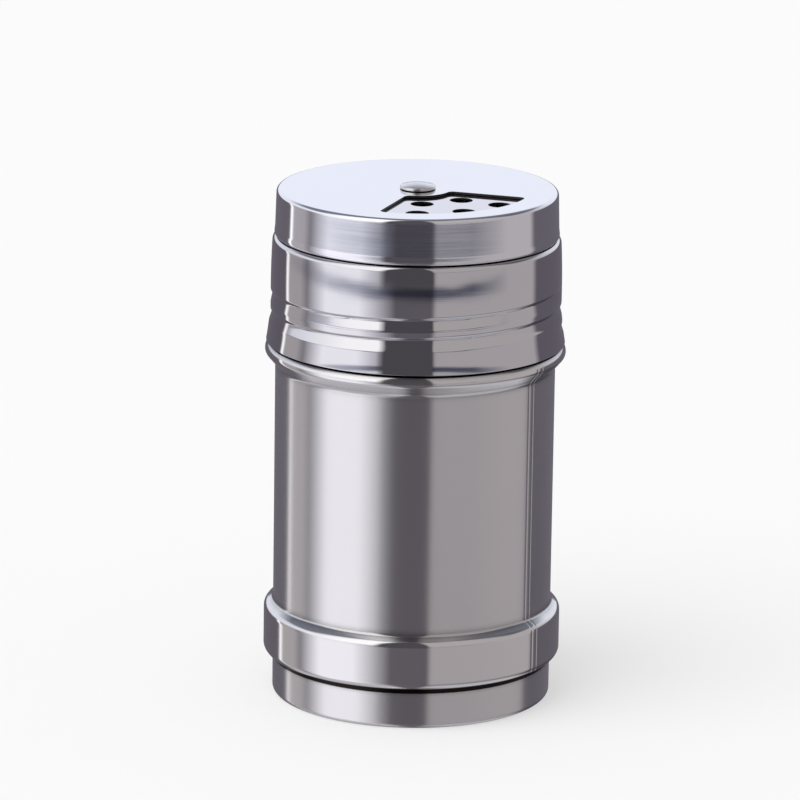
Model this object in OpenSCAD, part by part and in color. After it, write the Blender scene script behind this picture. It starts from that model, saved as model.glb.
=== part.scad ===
// A stainless steel shaker for spices. A welded tube with a pressed bottom holds
// the spice. A lid with a perforated top screws on to its neck, and a cap with one
// window turns on a rivet over the holes. The origin is at the centre of the foot.

/* [Jar] */
// Radius of the jar's straight wall
jar_r = 28.6; // [24:0.1:40]
// Sheet of the jar's tube
jar_wall = 0.4; // [0.3:0.05:0.6]
// Height of the wall between the band and the bead
wall_h = 50; // [20:0.1:120]
// Height of the neck above the bead
neck_h = 18.7; // [17:0.1:21]
// How far the neck's rim curls inwards
rim_curl_w = 1.4; // [1.3:0.1:3]

/* [Band] */
// How far the band stands out from the wall
band_out = 1.9; // [1.4:0.1:3]
// Height of the band's face, lip included
band_h = 9.9; // [7:0.1:16]
// Height of the slope from the band to the wall
band_slope_h = 1.2; // [0.8:0.1:3]
// Radius of the bends along the band
band_bend_r = 1.5; // [1.1:0.1:2]

/* [Bead] */
// How far the bead stands out from the wall
bead_out = 2.1; // [1.4:0.1:3]
// Height of the slope under the bead
bead_slope_h = 2.4; // [1.8:0.1:7]
// Height of the bead's face
bead_h = 2.3; // [2:0.1:5]
// Radius of the bends along the bead
bead_bend_r = 1.1; // [0.8:0.1:1.4]

/* [Bottom] */
// Sheet of the bottom
cup_wall = 0.4; // [0.3:0.05:0.6]
// Height of the bottom's wall under the band
cup_h = 8.5; // [4:0.1:20]
// How far below the band's slope the bottom's skirt ends
cup_skirt_drop = 2.7; // [1.5:0.1:4]
// Radius of the bend round the foot
foot_bend_r = 1; // [0.8:0.1:2.4]
// Width of the ring that the shaker stands on
foot_ring_w = 1.8; // [1:0.1:4]
// How far the middle of the bottom is pressed up
foot_rise = 1.2; // [0.6:0.1:3]

/* [Thread] */
// Rise of the thread in one turn
thread_pitch = 4; // [3.6:0.1:5]
// Width of the rolled thread at its root
thread_w = 2.8; // [2:0.1:3]
// Depth of the rolled thread
thread_d = 0.42; // [0.3:0.02:0.6]
// How far round the thread runs, in degrees
thread_sweep = 560; // [200:10:600]
// Height of the thread's lower end above the lid's flare
thread_up = 2.4; // [2:0.1:3.4]

/* [Lid] */
// Sheet of the lid
lid_wall = 0.4; // [0.3:0.05:0.6]
// Space between the neck's rim and the lid's shoulder above it
rim_gap = 2.82; // [0.5:0.01:12]
// How far the lid's edge flares out
flare_out = 0.85; // [0.4:0.05:1.2]
// Height of the flare
flare_h = 3.1; // [2.6:0.1:4.5]
// How far the lid's wall leans in below its shoulder
crown_in = 0.7; // [0.3:0.05:1.2]
// Height over which the wall leans in
crown_h = 2; // [1.4:0.1:4]
// Height of the turret, from the shoulder to the perforated top
turret_h = 9; // [6:0.1:14]

/* [Cap] */
// Sheet of the cap
cap_wall = 0.45; // [0.3:0.05:0.6]
// How far the cap's folded edge stands in from the lid's wall
cap_inset = 0.65; // [0:0.05:1]
// How far the cap tapers in towards its top
cap_taper = 0.35; // [0:0.05:1]
// Radius of the bend round the cap's top
cap_bend_r = 0.9; // [0.7:0.1:2]
// Height of the fold along the cap's edge
hem_h = 1.4; // [1:0.1:3]

/* [Window] */
// Angle that the window spans
window_a = 92; // [40:1:100]
// Direction of the window's middle, from the front towards the right
window_turn = 26.5; // [0:0.5:359]
// Radius of the window's inner edge
window_in_r = 6.8; // [6:0.1:8]
// Width of the sheet between the window and the cap's edge
window_margin_w = 6.2; // [4:0.1:7]
// Radius of the window's corners
window_corner_r = 1.2; // [0.2:0.1:1.5]

/* [Holes] */
// Diameter of the medium holes
hole_d = 4.5; // [2:0.1:5]
// Distance from the window's inner edge to the inner row of medium holes
hole_in_w = 4.9; // [3.7:0.1:6.2]
// Distance from the window's outer edge to the outer row of medium holes
hole_out_w = 3; // [2.8:0.1:4.8]
// Diameter of the fine holes
fine_d = 2; // [1:0.1:2.6]
// Distance from the window's inner edge to the first row of fine holes
fine_in_w = 3.6; // [2.7:0.1:5.2]
// Distance from row to row of the fine holes
fine_step = 4.6; // [3.4:0.1:5]

/* [Rivet] */
// Diameter of the rivet's head
head_d = 7.2; // [5:0.1:9]
// Height of the rivet's head
head_h = 1.1; // [0.8:0.1:2]
// How much of that height is domed
head_dome_h = 0.5; // [0.2:0.05:0.7]
// Diameter of the rivet's shank
shank_d = 3; // [2:0.1:4]
// Diameter of the rivet's upset tail
tail_d = 5; // [4.6:0.1:7]
// Height of the rivet's upset tail
tail_h = 0.8; // [0.5:0.1:1.5]

/* [Washers] */
// Diameter of the spring washer
spring_d = 9; // [7.5:0.1:12]
// Sheet of the spring washer
spring_wall = 0.25; // [0.15:0.05:0.4]
// Height of the spring washer, waves included
spring_h = 0.75; // [0.5:0.05:1.2]
// Number of waves round the spring washer
spring_waves = 3; // [2:1:5]
// Diameter of the flat washer under it
washer_d = 8; // [7:0.1:11]
// Thickness of the flat washer
washer_h = 0.6; // [0.4:0.1:1.2]

/* [Fits] */
// Play between the bottom's skirt and the band
skirt_fit = 0.05; // [0.02:0.01:0.15]
// Space between the band's lip and the bottom's wall
lip_fit = 0.25; // [0.2:0.05:0.5]
// Space between the threads
thread_fit = 0.23; // [0.15:0.01:0.4]
// Space between the lid's edge and the bead
lid_seat = 0.12; // [0.05:0.01:0.3]
// Space between the cap's fold and the turret
cap_fit = 0.3; // [0.2:0.05:0.6]
// Space between the cap's edge and the lid's shoulder
cap_lift = 0.25; // [0.15:0.05:0.6]
// Space between the cap and the perforated top
plate_fit = 0.1; // [0.05:0.01:0.2]
// Play of the rivet in the holes it passes through
rivet_fit = 0.08; // [0.05:0.01:0.1]
// Space above and below the spring washer
spring_fit = 0.03; // [0.01:0.01:0.1]

/* [Hidden] */
// How far a cut runs past what it cuts
overrun = 1;
// Smallest inside radius of a bend in the sheet
tight_in = 0.2;
// Radius of the bend at the foot of the bead
bead_foot_r = 1.6;
// Space left inside the fold of a hem
fold_gap = 0.06;
// Radii of the two long curves of the lid's wall
flare_bend_r = 20;
crown_bend_r = 10;
// Drop of the rim's curl, and how wide the slope is round the pressed middle
curl_drop = 1.3;
foot_slope_w = 1.6;
// How much higher the neck's thread lies than the lid's thread
thread_lead = 1.7;
// Direction of the start of the thread, and the stretch in which it fades
thread_start = -110;
thread_fade = 24;
// Angle between two sections of the thread, and between two points of a bend
thread_step = 8;
bend_step = 15;
// Section of the thread: shares of its width and of its depth, root to root
thread_crest_shares = [[-0.28, 0.55], [-0.1, 1], [0.1, 1], [0.28, 0.55]];
// Directions of the medium holes from the window's middle, as shares of its angle
hole_in_shares = [-0.24, 0.24];
hole_out_shares = [-0.293, 0, 0.293];
// The fine holes stay within this share of the window's angle
fine_spread_share = 0.56;
fine_rows = 3;
// Sections of the spring washer in one wave
wave_steps = 24;
quarter = 90;

band_r = jar_r + band_out;
lip_bend_r = min(band_bend_r, band_out - lip_fit);
bead_r = jar_r + bead_out;
tight_r = jar_wall + tight_in;
z_slope = cup_h + band_h;
z_wall = z_slope + band_slope_h;
z_bead = z_wall + wall_h;
z_shelf = z_bead + bead_slope_h + bead_h;
z_rim = z_shelf + neck_h;
lid_r = jar_r + thread_d + thread_fit + lid_wall;
z_lid = z_shelf + lid_seat;
z_thread = z_lid + flare_h + thread_up;
z_shoulder = z_rim + rim_gap + lid_wall;
z_plate = z_shoulder + turret_h;
z_hem = z_shoulder + cap_lift;
z_cap = z_plate + plate_fit + cap_wall;
cap_r = lid_r - cap_inset;
hem_r = cap_r - 2 * cap_wall - fold_gap;
fold_r = hem_r - cap_taper * hem_h / (z_cap - z_hem);
turret_r = fold_r - cap_fit;
shank_hole_r = shank_d / 2 + rivet_fit;
window_out_r = cap_r - window_margin_w;
z_spring = z_plate - lid_wall - spring_fit - spring_h;
z_washer = z_spring - spring_fit - washer_h;

// A piece of sheet is turned from the path of its outer face. A corner of the path
// is [radius, height, radius of the bend], and the sheet lies left of the path.
function spot(corner) = [corner[0], corner[1]];
function heading(a, b) = (spot(b) - spot(a)) / norm(spot(b) - spot(a));
function left_of(d) = [-d[1], d[0]];
function turned(d, a) = [d[0] * cos(a) - d[1] * sin(a), d[0] * sin(a) + d[1] * cos(a)];
function reversed(list) = [for (i = [len(list) - 1:-1:0]) list[i]];

// Angle by which the path turns at corner i, and the length that its bend takes
// from the straights on both sides
function turn_at(path, i) =
    let (u = heading(path[i - 1], path[i]), v = heading(path[i], path[i + 1]))
    atan2(cross(u, v), u * v);
function bend_length(path, i) =
    i == 0 || i == len(path) - 1 ? 0 : path[i][2] * tan(abs(turn_at(path, i)) / 2);

// Share of a bend's radius that the straight from corner i to the next has room for
function room_share(path, i) =
    norm(spot(path[i + 1]) - spot(path[i])) / (bend_length(path, i) + bend_length(path, i + 1));

// Points of the bend at corner i, at the depth given below the outer face
function bend(path, i, depth) =
    let (
        u = heading(path[i - 1], path[i]),
        turn = turn_at(path, i),
        side = sign(turn),
        r = path[i][2] * min(1, room_share(path, i - 1), room_share(path, i)),
        centre = spot(path[i]) - u * r * tan(abs(turn) / 2) + left_of(u) * side * r,
        steps = max(1, ceil(abs(turn) / bend_step))
    )
    [
        for (k = [0:steps])
            let (d = turned(u, turn * k / steps))
            centre - left_of(d) * (side * r - depth)
    ];

// One face of the sheet, at the depth given below the outer face
function face(path, depth) =
    let (last = len(path) - 1)
    [
        spot(path[0]) + left_of(heading(path[0], path[1])) * depth,
        for (i = [1:last - 1]) each bend(path, i, depth),
        spot(path[last]) + left_of(heading(path[last - 1], path[last])) * depth
    ];

module drawn_sheet(path, wall) {
    rotate_extrude($fn = 96)
        polygon(concat(face(path, 0), reversed(face(path, wall))));
}

// How much of the thread's depth is there at a point of its run
function thread_share(along) =
    min(1, along / thread_fade, (thread_sweep - along) / thread_fade);

// A point of the thread, at a radius, an angle along its run and a height
function thread_point(r, along, z) =
    let (a = thread_start + along)
    [r * sin(a), -r * cos(a), z + thread_pitch * along / 360];

// The thread as a strip that bulges from a wall of radius r: outwards where sense
// is 1 and inwards where it is -1. Its root lies behind that wall.
module thread_strip(r, sense, root, z) {
    steps = ceil(thread_sweep / thread_step);
    sides = len(thread_crest_shares) + 2;
    points = [
        for (k = [0:steps])
            let (
                along = thread_sweep * k / steps,
                share = thread_share(along),
                sunk = root * (1 - share) / 2,
                section = concat(
                    [[-thread_w / 2, -root]],
                    [for (p = thread_crest_shares) [p[0] * thread_w, p[1] * thread_d * share - sunk]],
                    [[thread_w / 2, -root]]
                )
            )
            for (s = section) thread_point(r + sense * s[1], along, z + sense * s[0])
    ];
    walls = [
        for (k = [0:steps - 1], i = [0:sides - 1])
            let (a = k * sides + i, b = k * sides + (i + 1) % sides)
            each [[a, b, a + sides], [b, b + sides, a + sides]]
    ];
    ends = [
        [for (i = [sides - 1:-1:0]) i],
        [for (i = [0:sides - 1]) steps * sides + i]
    ];
    polyhedron(points = points, faces = concat(walls, ends));
}

// A sector of a ring, with its middle at a direction from the front
module ring_sector(in_r, out_r, a, turn) {
    reach = out_r / cos(a / 4);
    rotate(turn - quarter)
        intersection() {
            difference() {
                circle(out_r, $fn = 96);
                circle(in_r, $fn = 96);
            }
            polygon([
                [0, 0],
                for (k = [-2:2]) [reach * cos(k * a / 4), reach * sin(k * a / 4)]
            ]);
        }
}

// Places something at a radius and a direction from the front
module at_direction(r, a) {
    rotate(a - quarter)
        translate([r, 0])
            children();
}

module medium_holes() {
    for (share = hole_in_shares)
        at_direction(window_in_r + hole_in_w, window_turn + share * window_a)
            circle(d = hole_d, $fn = 48);
    for (share = hole_out_shares)
        at_direction(window_out_r - hole_out_w, window_turn + share * window_a)
            circle(d = hole_d, $fn = 48);
}

// Rows of two, three and four holes, behind the medium ones
module fine_holes() {
    for (row = [0:fine_rows - 1], i = [0:row + 1])
        at_direction(
            window_in_r + fine_in_w + row * fine_step,
            window_turn + quarter + fine_spread_share * window_a * (i / (row + 1) - 1 / 2)
        )
            circle(d = fine_d, $fn = 32);
}

module window_shape(turn) {
    offset(r = window_corner_r, $fn = 32)
        offset(delta = -window_corner_r)
            ring_sector(window_in_r, window_out_r, window_a, turn);
}

// The jar's tube: lip, band, wall, bead, neck and a rim that is curled inwards
module jar_body() {
    path = [
        [jar_r + lip_fit, cup_h, 0],
        [band_r, cup_h, lip_bend_r],
        [band_r, z_slope, band_bend_r],
        [jar_r, z_wall, band_bend_r / 2],
        [jar_r, z_bead, bead_foot_r],
        [bead_r, z_bead + bead_slope_h, bead_bend_r],
        [bead_r, z_shelf, bead_bend_r],
        [jar_r, z_shelf, tight_in],
        [jar_r, z_rim, tight_r],
        [jar_r - rim_curl_w, z_rim, tight_r],
        [jar_r - rim_curl_w, z_rim - curl_drop, 0]
    ];
    z_ridge = z_thread + thread_lead;
    color("silver")
        difference() {
            union() {
                drawn_sheet(path, jar_wall);
                thread_strip(jar_r, 1, jar_wall / 2, z_ridge);
            }
            thread_strip(jar_r - jar_wall, 1, jar_wall / 2, z_ridge);
        }
}

// The bottom: a pressed middle, the foot, the wall that shows and a skirt in the band
module bottom_cup() {
    ring_in_r = jar_r - foot_bend_r - foot_ring_w;
    ledge_z = cup_h + jar_wall;
    skirt_r = band_r - jar_wall - skirt_fit;
    skirt_bend_r = lip_bend_r - jar_wall - skirt_fit;
    tight = cup_wall + tight_in;
    path = [
        [0, foot_rise, 0],
        [ring_in_r - foot_slope_w, foot_rise, tight],
        [ring_in_r, 0, tight],
        [jar_r, 0, foot_bend_r],
        [jar_r, ledge_z, tight_in],
        [skirt_r, ledge_z, skirt_bend_r],
        [skirt_r, z_slope - cup_skirt_drop, 0]
    ];
    color("gainsboro")
        drawn_sheet(path, cup_wall);
}

// The lid: flared edge, threaded wall, shoulder, turret and perforated top
module shaker_lid() {
    tight = lid_wall + tight_in;
    path = [
        [lid_r + flare_out, z_lid, 0],
        [lid_r, z_lid + flare_h, flare_bend_r],
        [lid_r, z_shoulder - crown_h, crown_bend_r],
        [lid_r - crown_in, z_shoulder, tight],
        [turret_r, z_shoulder, tight_in],
        [turret_r, z_plate, tight],
        [shank_hole_r, z_plate, 0]
    ];
    color("lightgray")
        difference() {
            union() {
                drawn_sheet(path, lid_wall);
                thread_strip(lid_r - lid_wall, -1, lid_wall / 2, z_thread);
            }
            thread_strip(lid_r, -1, lid_wall / 2, z_thread);
            translate([0, 0, z_plate - lid_wall - overrun])
                linear_extrude(lid_wall + 2 * overrun) {
                    medium_holes();
                    fine_holes();
                    window_shape(window_turn + 2 * quarter);
                }
        }
}

// The cap: folded edge, tapered skirt and a flat top with one window
module rotating_cap() {
    fold_bend_r = (cap_r - hem_r) / 2;
    path = [
        [fold_r, z_hem + hem_h, 0],
        [hem_r, z_hem, fold_bend_r],
        [cap_r, z_hem, fold_bend_r],
        [cap_r - cap_taper, z_cap, cap_bend_r],
        [shank_hole_r, z_cap, 0]
    ];
    color("whitesmoke")
        difference() {
            drawn_sheet(path, cap_wall);
            translate([0, 0, z_cap - cap_wall - overrun])
                linear_extrude(cap_wall + 2 * overrun)
                    window_shape(window_turn);
        }
}

// The rivet: domed head, shank and a tail that is upset against the flat washer
module rivet() {
    head_r = head_d / 2;
    dome_r = (head_r ^ 2 + head_dome_h ^ 2) / (2 * head_dome_h);
    z_head = z_cap + plate_fit;
    color("white")
        union() {
            translate([0, 0, z_head])
                intersection() {
                    cylinder(h = head_h, r = head_r, $fn = 64);
                    translate([0, 0, head_h - dome_r])
                        sphere(dome_r, $fn = 128);
                }
            translate([0, 0, z_washer - tail_h / 2])
                cylinder(h = z_head - z_washer + tail_h / 2 + head_h / 2, d = shank_d, $fn = 48);
            translate([0, 0, z_washer - tail_h])
                cylinder(h = tail_h, d1 = (shank_d + tail_d) / 2, d2 = tail_d, $fn = 48);
        }
}

// The spring washer: a flat ring that is pressed into waves
module wave_washer() {
    steps = wave_steps * spring_waves;
    in_r = shank_hole_r;
    out_r = spring_d / 2;
    swing = (spring_h - spring_wall) / 2;
    points = [
        for (k = [0:steps - 1])
            let (a = 360 * k / steps, z = swing * (1 + cos(spring_waves * a)))
            for (p = [[in_r, z], [out_r, z], [out_r, z + spring_wall], [in_r, z + spring_wall]])
                [p[0] * cos(a), p[0] * sin(a), p[1]]
    ];
    faces = [
        for (k = [0:steps - 1], i = [0:3])
            let (
                a = 4 * k + i,
                b = 4 * k + (i + 1) % 4,
                c = 4 * ((k + 1) % steps) + i,
                d = 4 * ((k + 1) % steps) + (i + 1) % 4
            )
            each [[a, b, c], [b, d, c]]
    ];
    color("darkgray")
        translate([0, 0, z_spring])
            polyhedron(points = points, faces = faces);
}

module clinch_washer() {
    color("gray")
        translate([0, 0, z_washer])
            difference() {
                cylinder(h = washer_h, d = washer_d, $fn = 64);
                translate([0, 0, -overrun])
                    cylinder(h = washer_h + 2 * overrun, r = shank_hole_r, $fn = 48);
            }
}

jar_body();
bottom_cup();
shaker_lid();
rotating_cap();
rivet();
wave_washer();
clinch_washer();
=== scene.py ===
"""Spice shaker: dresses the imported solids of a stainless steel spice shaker.

Every piece is turned, rolled or pressed from the same sizes as its solid, more finely and with
small forms that the solid leaves out, and stands in the solid's place on the same body.
"""

import math

import bmesh
import bpy
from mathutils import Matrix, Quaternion, Vector


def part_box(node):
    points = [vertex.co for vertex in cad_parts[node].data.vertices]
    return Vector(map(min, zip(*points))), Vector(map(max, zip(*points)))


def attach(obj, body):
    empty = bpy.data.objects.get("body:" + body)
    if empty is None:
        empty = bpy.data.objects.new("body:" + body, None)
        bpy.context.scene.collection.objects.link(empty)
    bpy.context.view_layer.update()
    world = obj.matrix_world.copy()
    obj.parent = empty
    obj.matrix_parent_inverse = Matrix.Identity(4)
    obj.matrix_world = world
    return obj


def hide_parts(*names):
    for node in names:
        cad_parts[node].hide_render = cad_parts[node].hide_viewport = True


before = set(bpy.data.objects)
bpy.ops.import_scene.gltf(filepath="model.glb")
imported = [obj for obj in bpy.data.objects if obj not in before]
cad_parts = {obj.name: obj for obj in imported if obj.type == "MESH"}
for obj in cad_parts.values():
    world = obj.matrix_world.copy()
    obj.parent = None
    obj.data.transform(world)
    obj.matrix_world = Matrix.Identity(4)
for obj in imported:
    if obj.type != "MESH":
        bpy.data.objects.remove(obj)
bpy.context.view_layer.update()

bl_info = {
    "name": "Spice shaker",
    "version": (1, 0, 0),
    "blender": (4, 5, 0),
    "location": "View3D > Sidebar > Shaker",
    "description": "Builds a stainless steel spice shaker with a screw lid and a turning cap",
    "category": "Add Mesh",
}

MM = 0.001
JAR_LOW, JAR_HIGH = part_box("jar_body")
LID_LOW, LID_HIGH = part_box("shaker_lid")
CAP_LOW, CAP_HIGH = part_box("rotating_cap")
RIVET_LOW, RIVET_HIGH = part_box("rivet")
SPRING_LOW, SPRING_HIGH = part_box("wave_washer")
WASHER_LOW, WASHER_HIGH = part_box("clinch_washer")


def length(name, description, metres):
    """A size as a property, with its default in metres."""
    return bpy.props.FloatProperty(
        name=name, description=description, default=metres, unit="LENGTH", precision=6)


def angle(name, description, degrees):
    """An angle as a property, with its default in degrees."""
    return bpy.props.FloatProperty(
        name=name, description=description, default=math.radians(degrees), unit="ROTATION")


def share(name, description, value):
    """A number from 0 to 1 as a property."""
    return bpy.props.FloatProperty(
        name=name, description=description, default=value, min=0, max=1, subtype="FACTOR")


def linear(code):
    """The linear colour of an sRGB hex code."""
    parts = [int(code[i:i + 2], 16) / 255 for i in (1, 3, 5)]
    return tuple(c / 12.92 if c <= 0.04045 else ((c + 0.055) / 1.055) ** 2.4 for c in parts)


def colour(name, description, code):
    """A colour as a property, from its sRGB hex code."""
    return bpy.props.FloatVectorProperty(
        name=name, description=description, default=linear(code), size=3, min=0, max=1, subtype="COLOR")


class SheetSizes(bpy.types.PropertyGroup):
    """What all the sheet pieces share"""

    wall: length("Sheet", "Thickness of the tube's, the bottom's and the lid's sheet", 0.4 * MM)
    cap_wall: length("Cap sheet", "Thickness of the cap's sheet", 0.45 * MM)
    tight_bend: length("Tight bend", "Smallest inside radius of a bend", 0.2 * MM)
    cut_edge: length("Cut edge", "Radius to which a cut edge of the sheet is tumbled", 0.09 * MM)


class JarSizes(bpy.types.PropertyGroup):
    """The welded tube and the pressed bottom"""

    wall_radius: length("Wall radius", "Radius of the straight wall", 28.6 * MM)
    bead_radius: length("Bead radius", "Radius of the rolled bead", JAR_HIGH.x)
    band_radius: length("Band radius", "Radius of the rolled band", 30.5 * MM)
    lip_height: length("Lip", "Height of the band's lower edge", JAR_LOW.z)
    rim_height: length("Rim", "Height of the neck's rim", JAR_HIGH.z)
    band: length("Band", "Height of the band's face", 9.9 * MM)
    band_slope: length("Band slope", "Height of the slope over the band", 1.2 * MM)
    band_bend: length("Band bend", "Radius of the bends along the band", 1.5 * MM)
    straight: length("Straight wall", "Height of the wall between band and bead", 50.0 * MM)
    bead_slope: length("Bead slope", "Height of the slope under the bead", 2.4 * MM)
    bead: length("Bead", "Height of the bead's face", 2.3 * MM)
    bead_bend: length("Bead bend", "Radius of the bends along the bead", 1.1 * MM)
    bead_top_bend: length("Bead top bend", "Outer radius of the bead's upper corner", 1.85 * MM)
    bead_foot: length("Bead foot", "Radius of the bend at the foot of the bead", 1.6 * MM)
    curl: length("Curl", "How far the rim curls in", 1.4 * MM)
    curl_drop: length("Curl drop", "How far the curl goes down", 1.3 * MM)
    lip_play: length("Lip play", "Space between the band's lip and the bottom's wall", 0.25 * MM)
    skirt_play: length("Skirt play", "Space between the bottom's skirt and the band", 0.05 * MM)
    skirt_drop: length("Skirt drop", "How far below the slope the skirt ends", 2.7 * MM)
    foot_bend: length("Foot bend", "Radius of the bend round the foot", 1.0 * MM)
    foot_ring: length("Foot ring", "Width of the ring that it stands on", 1.8 * MM)
    foot_rise: length("Foot rise", "How far the middle of the bottom is pressed up", 1.2 * MM)
    foot_slope: length("Foot slope", "Width of the slope round the pressed middle", 1.6 * MM)
    seam_direction: angle("Seam", "Direction of the weld, from the front towards the right", 55.5)
    seam_width: length("Seam width", "Distance between the two edges of the weld", 1.5 * MM)
    seam_groove: length("Seam groove", "Width of the groove along each edge of the weld", 0.44 * MM)
    seam_depth: length("Seam depth", "Depth of the grooves", 0.036 * MM)


class LidSizes(bpy.types.PropertyGroup):
    """The screw lid and its rolled thread"""

    edge_radius: length("Edge radius", "Radius of the flared edge", LID_HIGH.x)
    edge_height: length("Edge height", "Height of the flared edge", LID_LOW.z)
    plate_height: length("Plate height", "Height of the perforated top", LID_HIGH.z)
    flare_out: length("Flare", "How far the edge flares out", 0.85 * MM)
    flare: length("Flare height", "Height of the flare", 6.36 * MM)
    lower_flare: length("Lower flare", "Height of the steeper part of the flare", 1.28 * MM)
    lower_flare_out: length("Lower flare out", "How far the steeper part flares out", 0.226 * MM)
    flare_bend: length("Flare bend", "Radius of the curve between the flare's two parts", 42 * MM)
    flare_foot: length("Flare foot", "Radius of the curve from the wall into the flare", 12 * MM)
    shoulder_height: length("Shoulder", "Height of the shoulder", 96.22 * MM)
    crown: length("Crown", "Height over which the wall leans in", 6.16 * MM)
    crown_in: length("Crown lean", "How far the wall leans in at the shoulder", 0.31 * MM)
    crown_bend: length("Crown bend", "Radius of the long curve of the wall", 180 * MM)
    shoulder_bend: length("Shoulder bend", "Radius of the bend into the shoulder", 1.2 * MM)
    turret_radius: length("Turret radius", "Radius of the turret under the cap", 27.69 * MM)
    pitch: length("Pitch", "Rise of the thread in one turn", 4.0 * MM)
    thread_over: length("Upper flank", "Height of the thread's short upper flank", 0.9 * MM)
    thread_under: length("Lower flank", "Height of the thread's long lower flank", 1.95 * MM)
    thread_depth: length("Thread depth", "Depth of the rolled thread", 0.42 * MM)
    thread_up: length("Thread start", "Height of the thread's lower end over the lid's edge", 3.5 * MM)
    thread_lead: length("Thread lead", "How much higher the neck's thread lies", 1.7 * MM)
    thread_sweep: angle("Thread sweep", "How far round the thread runs", 740)
    thread_start: angle("Thread direction", "Direction of the start of the thread", -290)
    thread_fade: angle("Thread fade", "Stretch in which the thread fades", 24)


# The cap's edge is rolled out, which brings it a little lower than the solid's
CAP_EDGE_DROP = 0.11 * MM


class TopSizes(bpy.types.PropertyGroup):
    """The cap, its window and the holes under it"""

    radius: length("Cap radius", "Radius of the cap's folded edge", CAP_HIGH.x)
    edge_height: length("Cap edge", "Height of the folded edge", CAP_LOW.z - CAP_EDGE_DROP)
    top_height: length("Cap top", "Height of the cap's flat top", CAP_HIGH.z)
    taper: length("Taper", "How far the cap tapers in towards its top", 0.35 * MM)
    top_bend: length("Top bend", "Radius of the bend round the cap's top", 0.9 * MM)
    hem: length("Hem", "Height of the folded edge", 1.4 * MM)
    roll: length("Roll", "Height of the part of the edge that rolls out", 0.75 * MM)
    roll_out: length("Roll out", "How far the edge rolls out", 0.12 * MM)
    roll_bend: length("Roll bend", "Radius of the bends along the rolled part", 1.2 * MM)
    fold_gap: length("Fold gap", "Space left inside the fold", 0.06 * MM)
    window_span: angle("Window span", "Angle that the window spans", 92)
    window_turn: angle("Window turn", "Direction of the window's middle", 26.5)
    window_inner: length("Window inner edge", "Radius of the window's inner edge", 6.8 * MM)
    window_outer: length("Window outer edge", "Radius of the window's outer edge", 22.8 * MM)
    window_corner: length("Window corners", "Radius of the window's corners", 1.2 * MM)
    medium_hole: length("Medium holes", "Diameter of the medium holes", 4.5 * MM)
    fine_hole: length("Fine holes", "Diameter of the fine holes", 2.0 * MM)
    inner_row: length("Inner row", "Radius of the inner row of medium holes", 11.7 * MM)
    outer_row: length("Outer row", "Radius of the outer row of medium holes", 20.1 * MM)
    fine_row: length("Fine row", "Radius of the first row of fine holes", 10.4 * MM)
    fine_step: length("Fine step", "Distance from row to row of the fine holes", 4.6 * MM)
    inner_spread: share("Inner spread", "Spread of the inner row as a share of the window's angle", 0.48)
    outer_spread: share("Outer spread", "Spread of the outer row as a share of the window's angle", 0.601)
    outer_turn: angle("Outer row turn", "Turn of the outer row from the window's middle", 1.0)
    fine_spread: share("Fine spread", "Spread of the fine rows as a share of the window's angle", 0.56)
    burr: length("Punched edge", "Width of the rounded edge round a punched hole", 0.1 * MM)


class PivotSizes(bpy.types.PropertyGroup):
    """The rivet and its two washers"""

    hole_radius: length("Hole radius", "Radius of the holes that the shank passes through", 1.58 * MM)
    shank_radius: length("Shank radius", "Radius of the rivet's shank", 1.5 * MM)
    head_radius: length("Head radius", "Radius of the rivet's head", RIVET_HIGH.x)
    head_top: length("Head top", "Height of the top of the head", RIVET_HIGH.z)
    head: length("Head height", "Height of the head", 1.1 * MM)
    dome: length("Dome", "How much of the head is domed", 0.5 * MM)
    head_edge: length("Head edge", "Radius of the rounded edge of the head", 0.2 * MM)
    tail_bottom: length("Tail bottom", "Height of the bottom of the upset tail", RIVET_LOW.z)
    tail: length("Tail", "Height of the upset tail", 0.8 * MM)
    tail_radius: length("Tail radius", "Radius of the upset tail", 2.5 * MM)
    spring_radius: length("Spring radius", "Outer radius of the spring washer", SPRING_HIGH.x)
    spring_low: length("Spring height", "Height of the spring washer", SPRING_LOW.z)
    spring_wall: length("Spring sheet", "Sheet of the spring washer", 0.25 * MM)
    spring_rise: length(
        "Spring rise", "Height of the spring washer, waves included", SPRING_HIGH.z - SPRING_LOW.z)
    spring_waves: bpy.props.IntProperty(
        name="Waves", description="Waves round the spring washer", default=3, min=2)
    washer_radius: length("Washer radius", "Outer radius of the flat washer", WASHER_HIGH.x)
    washer_low: length("Washer bottom", "Height of the flat washer's bottom", WASHER_LOW.z)
    washer_high: length("Washer top", "Height of the flat washer's top", WASHER_HIGH.z)
    edge: length("Edges", "Width of the chamfers on the washers and the tail", 0.08 * MM)


class Finish(bpy.types.PropertyGroup):
    """Colours of the steel"""

    tube: colour("Tube", "Satin brushed tube and bottom", "#D2D0D0")
    lid: colour("Lid", "Polished lid", "#C8C6C9")
    cap: colour("Cap", "Polished cap", "#DAD9DD")
    rivet: colour("Rivet", "Polished rivet", "#DEDDDE")
    inner: colour("Inner steel", "Plain rolled washers", "#B4B4B6")


class StageLook(bpy.types.PropertyGroup):
    """Floor, light and camera"""

    floor: colour("Floor", "Colour of the floor and the backdrop", "#FBFBFB")
    elevation: angle("Camera elevation", "How far the camera looks down", 14.97)
    roll: angle("Camera roll", "How far the camera is turned about its view", 0.87)
    distance: length("Camera distance", "Distance from the camera to the middle of the shaker", 1.2433)
    aim_height: length("Aim", "Height that the camera looks at", 53.39 * MM)
    lens: bpy.props.FloatProperty(
        name="Lens", description="Focal length in millimetres", default=272.97)
    shift_x: bpy.props.FloatProperty(
        name="Shift X", description="Sideways shift of the view", default=-0.01757)
    shift_y: bpy.props.FloatProperty(
        name="Shift Y", description="Upward shift of the view", default=0.04766)


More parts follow.
